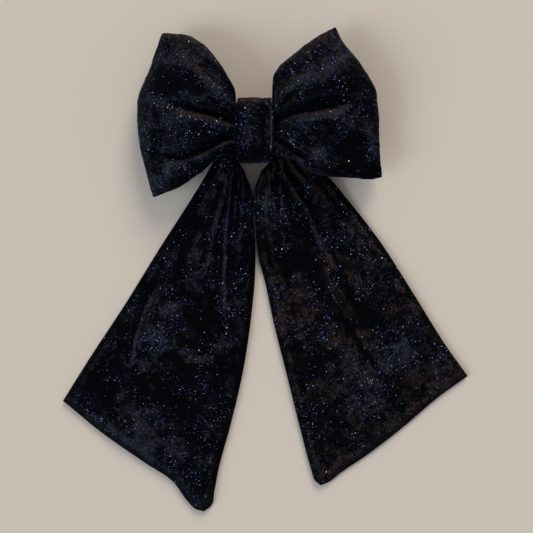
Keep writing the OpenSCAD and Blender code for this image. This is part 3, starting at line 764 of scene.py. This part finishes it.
def make_tail(side, tail, shape, material):
    outline, seed, warmth = tail["outline"], tail["seed"], tail["warmth"]
    mesh = closed_rows(tail_rows(tail, shape))
    points = coordinates(mesh)
    push = cloud(points, 11, seed, 3) * smooth(30, 60, -points[:, 1]) * shape.crumple / MM
    points[:, 2] += 0.8 * push * np.maximum(normals(mesh)[:, 2], 0)
    points[:, 2] = np.maximum(points[:, 2], TAIL_FLOOR / 2)
    move_to(mesh, points)
    drawn = points[:, :2] / TAIL_SCALE
    rim = np.min([np.abs(along_path(drawn, outline[edge])[0]) for edge in ("outer", "end", "inner")], axis=0)
    # Painted shade along the rolled edges, stronger on the tail whose sheen is painted in the window's blue
    edge_shade = mix(1.3, 0.5, warmth) * (1 - smooth(1.0, 7.5, rim))
    # The crushed patches as painted sheen, lighter where the sheen is painted in the warm lamp's colour
    patches = spots(drawn, tail["nap"]) + 0.45 * warmth - 0.35 - edge_shade
    warm = warmth + spots(drawn, tail["warm_light_spots"]) + 0.3 * cloud(points, 60, seed + 8, 2)
    paint_sheen_and_shade(mesh, patches, warm, seed + 3, strength=1.6, window=0.08, glitter=0.85)
    name = f"{side}_tail"
    piece = add_piece(f"{name}_velvet", mesh, material)
    blend_tail(piece)
    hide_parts(f"{name}_front", f"{name}_back", f"{name}_lining")
    return piece


def blend_tail(piece):
    """Bakes a tail piece's transform into its mesh."""
    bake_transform(piece)


# ---------------------------------------------------------------- band and what it holds

BAND_STEPS = 220
BAND_ACROSS = 64
BAND_CORNER = 10.6
BAND_FOOT = 3.6
# Width of the band at its corners and in the middle of its front, as shares of its usual width
CORNER_SQUEEZE = 0.88
FRONT_FLARE = 1.03
# Where the band's pleat steps down, and where the ridge beside it runs
PLEAT_STEP = 6.0
RIDGE_X = 12.2


def band_path(count):
    """Points and outward normals once round the band's wall, and the share of the way round."""
    half, low, high = BAND_HIGH[1], BAND_LOW[2], BAND_HIGH[2]
    points, outwards = [], []
    corners = ((1, BAND_CORNER), (-1, BAND_CORNER), (-1, BAND_FOOT), (1, BAND_FOOT))
    for turn, (side, radius) in enumerate(corners):
        centre = np.array([side * (half - radius), high - radius if turn < 2 else low + radius])
        for angle in np.radians(90 * turn + np.linspace(0, 90, 16)):
            out = np.array([math.cos(angle), math.sin(angle)])
            points.append(centre + radius * out)
            outwards.append(out)
    points, outwards = np.array(points + points[:1]), np.array(outwards + outwards[:1])
    gone = np.r_[0, np.cumsum(np.linalg.norm(np.diff(points, axis=0), axis=1))]
    at = np.linspace(0, gone[-1], count, endpoint=False)
    place = np.column_stack([np.interp(at, gone, points[:, k]) for k in (0, 1)])
    out = np.column_stack([np.interp(at, gone, outwards[:, k]) for k in (0, 1)])
    return place, out / np.linalg.norm(out, axis=1)[:, None], at / gone[-1]


def mound(x, middle, width):
    """A rounded rise, from 0 to 1 at its middle and back."""
    return np.exp(-((x - middle) / width) ** 2)


def band_height(x, share):
    """Height of the front's pleat, ridge, dents and folds over the band's flat shape."""
    turn = 2 * np.pi * share
    sway = 0.5 * np.sin(2 * turn + 0.6) + 0.3 * np.sin(5 * turn)
    swayed = x + sway
    step = smooth(PLEAT_STEP - 0.7, PLEAT_STEP + 0.9, swayed)
    dome = 0.9 * (1 - ((x + 4) / 11) ** 2)
    beyond_step = 0.1 - 1.1 * ((x - 10) / 3.6) ** 2
    height = np.maximum(mix(dome, beyond_step, step), -1.0)
    height += 0.9 * mound(x + 0.4 * sway, RIDGE_X, 0.6)
    height += 0.35 * mound(swayed, -3.2, 1.1) - 0.35 * mound(swayed, -6.4, 1.2)
    height += 0.3 * np.sin(3 * turn + 2 * np.pi * x / 30) * mound(x, -2, 9)
    return height


def make_band(shape, material):
    place, out, share = band_path(BAND_STEPS)
    even = np.linspace(-1, 1, BAND_ACROSS + 1)
    x = BAND_HALF * mix(even, np.sin(np.pi / 2 * even), 0.45)
    share, x = np.meshgrid(share, x, indexing="ij")
    squeeze = mix(FRONT_FLARE, CORNER_SQUEEZE, smooth(4, 21, np.abs(place[:, 0])))
    squeeze = mix(CORNER_SQUEEZE, squeeze, smooth(BAND_LOW[2], SEAM_Z, place[:, 1]))[:, None]
    front = smooth(0.0, 6.0, place[:, 1] - SEAM_Z)[:, None]
    from_edge = BAND_HALF - np.abs(x)
    height = band_height(x, share) * mix(0.35, 1.0, front) * smooth(0, 2.2, from_edge)
    half = BAND_WALL / 2 * quarter_round(from_edge / (0.7 * BAND_WALL))
    wander = 0.35 * np.sin(2 * np.pi * share * 7 + 1) * smooth(9, 13, np.abs(x))
    x = x * squeeze + wander
    sides = []
    for level in (half + height - BAND_WALL / 2, -half - BAND_WALL / 2):
        sides.append(np.dstack([x, place[:, None] + out[:, None] * level[..., None]]))
    mesh = closed_rows(wrapped(*sides), hoop=True)
    crumple(mesh, shape.crumple * 0.25, 5.0)
    x, y = coordinates(mesh).T[:2]
    # Painted sheen and shade on the band: lighter around the middle of its top, painted shade towards its -Y
    # end and in the pleat's step, a painted highlight along the ridge, darker towards -X, and its +Y end
    # tinted by the warm lamp
    patches = 0.55 * mound(x, -3, 5) * mound(y, 2, 13) - 1.3 * smooth(11, 19, -y) - 0.15
    patches += 2.0 * mound(x, RIDGE_X, 0.55) - 2.2 * mound(x, PLEAT_STEP + 0.6, 0.9)
    patches -= 0.8 * smooth(9, 13, -x)
    paint_sheen_and_shade(mesh, patches, 0.1 + 0.6 * smooth(12, 21, y), 9.0, window=0.1, glitter=1.25)
    piece = add_piece("centre_band_velvet", mesh, material)
    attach(piece, "bow")
    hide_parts("centre_band")
    return piece


STRIP_PLEATS = 7
STRIP_THICKNESS = 0.8
# How far short of the tails' pivots the strip's middle ends
STRIP_SHORT = 8.8


def make_strip(material):
    """The strip's middle, gathered in deep pleats between the tails' heads."""
    middle = (STRIP_LOW + STRIP_HIGH) / 2
    reach = abs(PIVOTS["right_tail"][0]) - STRIP_SHORT
    half_y, half_z = (STRIP_HIGH - STRIP_LOW)[1:] / 2 - STRIP_THICKNESS
    t = np.linspace(0, 1, 12 * STRIP_PLEATS + 1)
    rows = []
    for x in np.linspace(-reach, reach, 15):
        wave = np.sin(2 * np.pi * STRIP_PLEATS * t + 0.25 * math.sin(x / 3))
        path = np.column_stack([mix(-half_y, half_y, t), half_z * np.sign(wave) * np.abs(wave) ** 0.75])
        along = np.gradient(path, axis=0)
        across = np.column_stack([-along[:, 1], along[:, 0]]) / np.linalg.norm(along, axis=1)[:, None]
        across[[0, -1]] = 0
        half = across * STRIP_THICKNESS / 2
        ring = wrapped(path + half, path - half)
        rows.append(np.column_stack([np.full(len(ring), x), ring + middle[1:]]))
    mesh = capped_rows(np.array(rows))
    # Sheen and shade are painted from the strip's slopes and folds alone, partly tinted by the warm lamp
    paint_sheen_and_shade(mesh, np.zeros(len(mesh.vertices)), 0.4, 5.0)
    piece = add_piece("tail_strip_gather", mesh, material)
    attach(piece, "bow")
    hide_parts("tail_strip_middle")
    return piece


# ---------------------------------------------------------------- node trees


def plug(node, sockets):
    """Sets a node's sockets, given by name or number, or links them where the value is a socket."""
    for key, value in sockets.items():
        if isinstance(value, bpy.types.NodeSocket):
            node.id_data.links.new(value, node.inputs[key])
        else:
            node.inputs[key].default_value = value


class Builder:
    """Adds nodes to a tree, and returns their outputs."""

    def __init__(self, tree):
        self.tree = tree

    def add(self, kind, sockets, **settings):
        node = self.tree.nodes.new(kind)
        for key, value in settings.items():
            setattr(node, key, value)
        plug(node, sockets)
        return node.outputs

    def maths(self, operation, *values, **settings):
        return self.add("ShaderNodeMath", dict(enumerate(values)), operation=operation, **settings)[0]

    def weighted(self, parts, base=0.0):
        """The base plus the sum of some values, each times its weight."""
        total = base
        for value, weight in parts:
            total = self.maths("MULTIPLY_ADD", value, weight, total)
        return total

    def ramp(self, value, low, high):
        """Rises smoothly from 0 at low to 1 at high."""
        sockets = {"Value": value, "From Min": low, "From Max": high}
        return self.add("ShaderNodeMapRange", sockets, interpolation_type="SMOOTHSTEP")[0]

    def attribute(self, name):
        return self.add("ShaderNodeAttribute", {}, attribute_name=name)

    def blend(self, share, first, second):
        """A colour between two colours."""
        return self.add("ShaderNodeMix", {0: share, 6: first, 7: second}, data_type="RGBA")[2]

    def bump(self, strength, depth, height):
        sockets = {"Strength": strength, "Distance": depth, "Height": height}
        return self.add("ShaderNodeBump", sockets)[0]

    def noise(self, place, scale, detail, roughness, distortion=0.0):
        sockets = {"Vector": place, "Scale": scale, "Detail": detail, "Roughness": roughness,
                   "Distortion": distortion}
        return self.add("ShaderNodeTexNoise", sockets)[0]


# ---------------------------------------------------------------- repeated pieces, by Geometry Nodes


def geometry_tree(name, **inputs):
    """A Geometry Nodes tree with these inputs. It returns a builder and what the tree is given."""
    tree = bpy.data.node_groups.new(name, "GeometryNodeTree")
    tree.interface.new_socket("Geometry", in_out="OUTPUT", socket_type="NodeSocketGeometry")
    for label, kind in {"Geometry": "Geometry", **inputs}.items():
        tree.interface.new_socket(label, in_out="INPUT", socket_type=f"NodeSocket{kind}")
    return Builder(tree), tree.nodes.new("NodeGroupInput").outputs


def finish_tree(build, instances, material):
    """Ends a tree: its instances become plain geometry of this material."""
    real = build.add("GeometryNodeRealizeInstances", {"Geometry": instances})
    done = build.add("GeometryNodeSetMaterial", {"Geometry": real[0], "Material": material})
    build.add("NodeGroupOutput", {"Geometry": done[0]})
    return build.tree


def grown(name, source, tree, values):
    """A piece that is a plain mesh of what the tree makes on the source mesh."""
    helper = in_scene(name, source)
    modifier = helper.modifiers.new("Growth", "NODES")
    modifier.node_group = tree
    for item in tree.interface.items_tree:
        if item.in_out == "INPUT" and item.name in values:
            modifier[item.identifier] = values[item.name]
    mesh = evaluated_mesh(helper)
    bpy.data.objects.remove(helper)
    mesh.name = name
    return in_scene(name, mesh)


# How far a dot lies off the cloth, in metres, and how far it may tilt and spin, in radians
DOT_LIFT = 0.00022
DOT_TILT = 0.55
DOT_SPIN = 3.14
# Smallest and largest dot, as shares of the usual one
DOT_SIZES = (0.5, 1.5)


def glitter_tree():
    """Foil dots scattered over a mesh, more thickly where its sparkle is high."""
    build, given = geometry_tree("glitter_dots", Spacing="Float", Width="Float", Tilt="Float", Seed="Int",
                                 Finish="Material")
    square = build.maths("MULTIPLY", given["Spacing"], given["Spacing"])
    sparkle = build.add("GeometryNodeInputNamedAttribute", {"Name": "sparkle"}, data_type="FLOAT")[0]
    density = build.maths("DIVIDE", sparkle, square)
    sockets = {"Mesh": given["Geometry"], "Density": density, "Seed": given["Seed"]}
    spread = build.add("GeometryNodeDistributePointsOnFaces", sockets)
    radius = build.maths("MULTIPLY", given["Width"], 0.5)
    dot = build.add("GeometryNodeMeshCircle", {"Vertices": 6, "Radius": radius}, fill_type="NGON")
    bounds = {}
    for bound, sign in (("Min", -1.0), ("Max", 1.0)):
        tilt = build.maths("MULTIPLY", given["Tilt"], sign)
        bounds[bound] = build.add("ShaderNodeCombineXYZ", {"X": tilt, "Y": tilt, "Z": DOT_SPIN * sign})[0]
    angles = build.add("FunctionNodeRandomValue", bounds, data_type="FLOAT_VECTOR")["Value"]
    own = build.add("FunctionNodeEulerToRotation", {0: angles})[0]
    sockets = {"Rotation": spread["Rotation"], "Rotate By": own}
    turned = build.add("FunctionNodeRotateRotation", sockets, rotation_space="LOCAL")[0]
    sizes = {2: DOT_SIZES[0], 3: DOT_SIZES[1], "Seed": 7}
    size = build.add("FunctionNodeRandomValue", sizes, data_type="FLOAT")[1]
    sockets = {"Points": spread["Points"], "Instance": dot["Mesh"], "Rotation": turned, "Scale": size}
    dots = build.add("GeometryNodeInstanceOnPoints", sockets)[0]
    sockets = {"Instances": dots, "Translation": (0, 0, DOT_LIFT)}
    lifted = build.add("GeometryNodeTranslateInstances", sockets)[0]
    hue = build.add("FunctionNodeRandomValue", {"Seed": 21}, data_type="FLOAT")[1]
    sockets = {"Geometry": lifted, "Name": "dot_hue", "Value": hue}
    stored = build.add("GeometryNodeStoreNamedAttribute", sockets, domain="INSTANCE", data_type="FLOAT")[0]
    return finish_tree(build, stored, given["Finish"])


def make_glitter(tree, source, body, seed, finish, material):
    values = {"Spacing": finish.glitter_spacing, "Width": finish.glitter_size, "Tilt": DOT_TILT,
              "Seed": seed, "Finish": material}
    name = source.name.removesuffix("_velvet") + "_glitter"
    piece = grown(name, source.data, tree, values)
    if body == "bow":
        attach(piece, body)
    else:
        blend_tail(piece)
    return piece


STITCH_PITCH = 2.8
# How far a stitch may lie askew, in radians
STITCH_TURN = 0.14


def stitch_tree():
    """Stitches of twisted thread at the points of the given mesh."""
    build, given = geometry_tree("closing_stitches", Stitch="Object", Finish="Material")
    stitch = build.add("GeometryNodeObjectInfo", {"Object": given["Stitch"]})["Geometry"]
    sockets = {"Min": (0, 0, -STITCH_TURN), "Max": (0, 0, STITCH_TURN), "Seed": 4}
    angles = build.add("FunctionNodeRandomValue", sockets, data_type="FLOAT_VECTOR")["Value"]
    turned = build.add("FunctionNodeEulerToRotation", {0: angles})[0]
    sockets = {"Points": given["Geometry"], "Instance": stitch, "Rotation": turned}
    stitches = build.add("GeometryNodeInstanceOnPoints", sockets)[0]
    return finish_tree(build, stitches, given["Finish"])


def one_stitch(length, radius):
    """A short arched stitch of two twisted plies, along Y, hanging below z = 0."""
    t = np.linspace(0, 1, 11)
    angle = np.linspace(0, 2 * np.pi, 6, endpoint=False)
    circle = np.column_stack([np.cos(angle), 0 * angle, np.sin(angle)])
    thick = 0.6 * radius * np.where((t == 0) | (t == 1), 0.35, 1)
    both = bmesh.new()
    for ply in (0, 1):
        twist = 3 * np.pi * t + np.pi * ply
        sag = 0.3 * radius - 4 * radius * t * (1 - t)
        middle = np.column_stack([0.5 * radius * np.cos(twist), (t - 0.5) * length,
                                  sag + 0.5 * radius * np.sin(twist)])
        both.from_mesh(capped_rows(middle[:, None] + thick[:, None, None] * circle))
    mesh = bpy.data.meshes.new("stitch")
    both.to_mesh(mesh)
    both.free()
    tidy(mesh)
    return mesh


def make_stitches(material):
    low, high = node_box("band_stitches")
    count = int(round((high[0] - low[0]) / STITCH_PITCH)) + 1
    length, radius = high[1] - low[1], (high[2] - low[2]) / 2
    places = np.zeros((count, 3))
    places[:, 0] = np.linspace(low[0] + radius, high[0] - radius, count)
    places[:, 1:] = (low[1] + high[1]) / 2, high[2]
    seam = bpy.data.meshes.new("seam")
    seam.from_pydata((places * MM).tolist(), [], [])
    stitch = bpy.data.objects.new("stitch", one_stitch(length, radius))
    piece = grown("closing_stitches", seam, stitch_tree(), {"Stitch": stitch, "Finish": material})
    bpy.data.objects.remove(stitch)
    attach(piece, "bow")
    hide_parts("band_stitches")
    return piece


# ---------------------------------------------------------------- materials


def opaque(colour, shade=1.0):
    """A colour times a shade, with full alpha."""
    return (*(channel * shade for channel in colour), 1)


def new_material(name, sockets):
    """A material with these values on its shader. It returns the material, its shader and a builder."""
    material = bpy.data.materials.new(name)
    material.use_nodes = True
    shader = material.node_tree.nodes["Principled BSDF"]
    plug(shader, sockets)
    return material, shader, Builder(material.node_tree)


def velvet_material(finish):
    """Crushed velvet: near-black pile whose crushed patches are painted as lit sheen in the base colour,
    tinted blue by the window or brown by the lamp, with painted highlights and shade from the mesh, and a
    fine pile grain.
    """
    material, shader, build = new_material("crushed_velvet", {
        "Metallic": 0.0, "Specular IOR Level": 0.03, "Sheen Weight": 0.022, "Sheen Roughness": 0.4,
        "Sheen Tint": (0.62, 0.70, 1.0, 1)})
    place = build.attribute("place")["Vector"]
    nap, gleam, warmth = (build.attribute(name)["Fac"] for name in ("nap", "gleam", "warmth"))
    broad = build.noise(place, 70, 3, 0.55, 0.4)
    blotch = build.noise(place, 190, 5, 0.66, 0.7)
    fleck = build.noise(place, 560, 3, 0.6, 0.5)
    tufts = build.noise(place, 1050, 2, 0.6)
    grain = build.noise(place, 2400, 1, 0.5)
    # The crushed pattern, with the mesh's painted sheen and shade, decides where painted sheen lies
    crush_and_sheen = build.weighted([(broad, 0.32), (blotch, 0.50), (fleck, 0.20), (nap, 0.13)])
    lit = build.weighted([(build.ramp(crush_and_sheen, 0.46, 0.60), 0.42), (build.ramp(crush_and_sheen, 0.56, 0.76), 0.8)])
    # Painted highlight on slopes that face the lamps and on ridges, stronger in the blotches
    glow = build.weighted([(build.ramp(blotch, 0.3, 0.65), 0.9)], 0.25)
    lit = build.maths("MULTIPLY_ADD", gleam, glow, lit)
    # Each of these textures breaks up what is lit: it rises between two values, by a gain, from a base
    for texture, low, high, gain, base in ((grain, 0.32, 0.68, 1.1, 0.4), (tufts, 0.38, 0.62, 1.3, 0.3),
                                           (fleck, 0.35, 0.62, 0.6, 0.55)):
        contrast = build.weighted([(build.ramp(texture, low, high), gain)], base)
        lit = build.maths("MULTIPLY", lit, contrast)
    lit = build.maths("MINIMUM", lit, 1.0)
    drift = build.weighted([(build.noise(place, 42, 3, 0.55), 1.6)], -0.8)
    warm_share = build.maths("ADD", warmth, drift, use_clamp=True)
    # Colour of the painted sheen: the window's blue or the warm lamp's brown
    sheen_colour = build.blend(warm_share, opaque(finish.cool_window_sheen), opaque(finish.warm_lamp_sheen))
    height = build.weighted([(blotch, 0.6), (fleck, 0.35), (grain, 0.12)])
    plug(shader, {
        "Base Color": build.blend(lit, opaque(finish.velvet_colour), sheen_colour),
        "Roughness": build.weighted([(lit, -0.2)], 0.9),
        "Normal": build.bump(0.6, 0.0012, height)})
    return material


# Colours of the dots from the commonest to the rarest, each with the share of dots up to which it goes
DOT_HUES = (
    (0.0, (0.004, 0.006, 0.03)), (0.40, (0.014, 0.019, 0.06)), (0.68, (0.05, 0.07, 0.30)),
    (0.84, (0.13, 0.19, 0.80)), (0.95, (0.60, 0.72, 1.0)), (1.0, (0.75, 0.78, 1.0)),
)


def glitter_material():
    """Dyed foil dots: most are nearly black, many blue, and a few pale."""
    material, shader, build = new_material("blue_glitter", {"Metallic": 0.8, "Roughness": 0.35})
    hue = build.tree.nodes.new("ShaderNodeValToRGB")
    plug(hue, {"Fac": build.attribute("dot_hue")["Fac"]})
    stops = hue.color_ramp.elements
    stops[0].color, stops[1].color = opaque(DOT_HUES[0][1]), opaque(DOT_HUES[-1][1])
    for share, colour in DOT_HUES[1:-1]:
        stops.new(share).color = opaque(colour)
    plug(shader, {"Base Color": hue.outputs[0]})
    return material


def thread_material():
    """Dark sewing thread, with a fine twist."""
    material, shader, build = new_material("twisted_thread", {
        "Base Color": (0.012, 0.012, 0.018, 1), "Roughness": 0.55, "Sheen Weight": 0.2})
    place = build.add("ShaderNodeTexCoord", {})["Object"]
    sockets = {"Vector": place, "Scale": 900.0, "Distortion": 2.0}
    twist = build.add("ShaderNodeTexWave", sockets, bands_direction="DIAGONAL")["Fac"]
    plug(shader, {"Normal": build.bump(0.5, 0.0001, twist)})
    return material


def metal_material(name, colour, roughness, brushed):
    """Plated or rolled steel, with a fine grain along X and dull spots from handling."""
    material, shader, build = new_material(name, {"Metallic": 1.0})
    place = build.add("ShaderNodeTexCoord", {})["Object"]
    along = build.add("ShaderNodeMapping", {"Vector": place, "Scale": (60.0, 2400.0, 2400.0)})[0]
    grain = build.noise(along, 1.0, 3.0, 0.5)
    dull = build.ramp(build.noise(place, 120.0, 3.0, 0.5), 0.45, 0.85)
    plug(shader, {
        "Base Color": build.blend(dull, opaque(colour), opaque(colour, 0.86)),
        "Roughness": build.weighted([(grain, brushed), (dull, 0.12)], roughness),
        "Normal": build.bump(0.12, 0.00005, grain)})
    return material


def give_nodes(names, material):
    for name in names:
        materials = frame["nodes"][name].data.materials
        materials.clear()
        materials.append(material)


# ---------------------------------------------------------------- stage

# Half the floor's width and the middle of what the camera sees, in metres
FLOOR_HALF = 30.0
VIEW_MIDDLE = (0.0088, -0.0975)


def make_floor(stage):
    corners = [(-FLOOR_HALF, -FLOOR_HALF, 0), (FLOOR_HALF, -FLOOR_HALF, 0), (FLOOR_HALF, FLOOR_HALF, 0),
               (-FLOOR_HALF, FLOOR_HALF, 0)]
    mesh = bpy.data.meshes.new("floor")
    mesh.from_pydata(corners, [], [(0, 1, 2, 3)])
    material = new_material("pale_floor", {"Base Color": opaque(stage.floor_colour), "Roughness": 0.8})[0]
    add_piece("floor", mesh, material)


def add_sun(name, towards, strength, colour, spread):
    """A soft lamp far away in the given direction. Spread is its width in degrees."""
    data = bpy.data.lights.new(name, "SUN")
    data.energy = strength
    data.color = colour
    data.angle = math.radians(spread)
    in_scene(name, data).rotation_euler = Vector(towards).to_track_quat("Z", "Y").to_euler()


def make_lights():
    add_sun("warm_lamp", towards=(0.3, 1.0, 0.62), strength=1.85, colour=(1.0, 0.86, 0.72), spread=28)
    add_sun("window", towards=(-1.0, -0.45, 0.75), strength=1.3, colour=(0.80, 0.90, 1.0), spread=34)
    world = bpy.data.worlds.new("studio")
    bpy.context.scene.world = world
    world.use_nodes = True
    plug(world.node_tree.nodes["Background"], {"Color": (0.95, 0.95, 0.97, 1), "Strength": 0.36})


def make_camera(stage):
    data = bpy.data.cameras.new("camera")
    data.lens = data.sensor_width * stage.camera_height / stage.view_width
    data.clip_end = 100
    camera = in_scene("camera", data)
    camera.location = (*VIEW_MIDDLE, stage.camera_height)
    bpy.context.scene.camera = camera


# ---------------------------------------------------------------- operators

MADE = {}


class MakeLoops(bpy.types.Operator):
    """Make the two padded loops with their gathered waist"""

    bl_idname = "bow.make_loops"
    bl_label = "Padded Loops"

    def execute(self, context):
        MADE["velvet"] = velvet_material(context.scene.bow_finish)
        MADE["loops"] = make_loops(context.scene.bow_shape, MADE["velvet"])
        return {"FINISHED"}


class MakeBand(bpy.types.Operator):
    """Make the pleated centre band and the gathered strip that it holds"""

    bl_idname = "bow.make_band"
    bl_label = "Centre Band"

    def execute(self, context):
        MADE["band"] = make_band(context.scene.bow_shape, MADE["velvet"])
        make_strip(MADE["velvet"])
        return {"FINISHED"}


class MakeTails(bpy.types.Operator):
    """Make the two long tails"""

    bl_idname = "bow.make_tails"
    bl_label = "Tails"

    def execute(self, context):
        for side, tail in TAILS.items():
            MADE[f"{side}_tail"] = make_tail(side, tail, context.scene.bow_shape, MADE["velvet"])
        return {"FINISHED"}


class MakeGlitter(bpy.types.Operator):
    """Scatter the glitter dots over the velvet"""

    bl_idname = "bow.make_glitter"
    bl_label = "Glitter"

    def execute(self, context):
        tree, material = glitter_tree(), glitter_material()
        bodies = {"loops": "bow", "band": "bow", "left_tail": "left_tail", "right_tail": "right_tail"}
        for seed, (key, body) in enumerate(bodies.items(), 11):
            make_glitter(tree, MADE[key], body, seed, context.scene.bow_finish, material)
        return {"FINISHED"}


class MakeStitches(bpy.types.Operator):
    """Make the closing stitches behind the band and finish the waist threads"""

    bl_idname = "bow.make_stitches"
    bl_label = "Stitches and Threads"

    def execute(self, context):
        thread = thread_material()
        make_stitches(thread)
        give_nodes(["loop_waist_thread", "tail_waist_thread"], thread)
        return {"FINISHED"}


class FinishBarrette(bpy.types.Operator):
    """Give the barrette's metal its finishes"""

    bl_idname = "bow.finish_barrette"
    bl_label = "Barrette"

    def execute(self, context):
        nickel = context.scene.bow_finish.nickel_colour
        plated = ["clip_base_plate", "clasp_arm", "catch_web", "upper_catch_tab", "lower_catch_tab"]
        give_nodes(plated, metal_material("nickel_plate", nickel, 0.14, 0.12))
        spring = metal_material("spring_steel", tuple(c * 0.82 for c in nickel), 0.24, 0.2)
        give_nodes(["tension_bar"], spring)
        pin = metal_material("pin_steel", tuple(c * 0.9 for c in nickel), 0.2, 0.1)
        give_nodes(["hinge_pin", "catch_rivet"], pin)
        return {"FINISHED"}


class SetStage(bpy.types.Operator):
    """Set up the floor, the lights and the camera"""

    bl_idname = "bow.set_stage"
    bl_label = "Stage"

    def execute(self, context):
        context.scene.view_settings.view_transform = "Standard"
        make_floor(context.scene.bow_stage)
        make_lights()
        make_camera(context.scene.bow_stage)
        return {"FINISHED"}


class BowPanel(bpy.types.Panel):
    """Lists the steps that make the bow"""

    bl_idname = "VIEW3D_PT_hair_bow"
    bl_label = "Hair Bow"
    bl_space_type = "VIEW_3D"
    bl_region_type = "UI"
    bl_category = "Hair Bow"

    def draw(self, context):
        for key in SETTINGS:
            group = getattr(context.scene, key)
            box = self.layout.box()
            for name in group.__annotations__:
                box.prop(group, name)
        for step in STEPS:
            self.layout.operator(step.bl_idname)


SETTINGS = {"bow_shape": BowShape, "bow_finish": BowFinish, "bow_stage": BowStage}
STEPS = (MakeLoops, MakeBand, MakeTails, MakeGlitter, MakeStitches, FinishBarrette, SetStage)
CLASSES = (*SETTINGS.values(), *STEPS, BowPanel)


def register():
    for cls in CLASSES:
        bpy.utils.register_class(cls)
    for key, group in SETTINGS.items():
        setattr(bpy.types.Scene, key, bpy.props.PointerProperty(type=group))


def unregister():
    for key in SETTINGS:
        delattr(bpy.types.Scene, key)
    for cls in reversed(CLASSES):
        bpy.utils.unregister_class(cls)


def main():
    register()
    bpy.ops.bow.make_loops()
    bpy.ops.bow.make_band()
    bpy.ops.bow.make_tails()
    bpy.ops.bow.make_glitter()
    bpy.ops.bow.make_stitches()
    bpy.ops.bow.finish_barrette()
    bpy.ops.bow.set_stage()


if __name__ == "__main__":
    main()
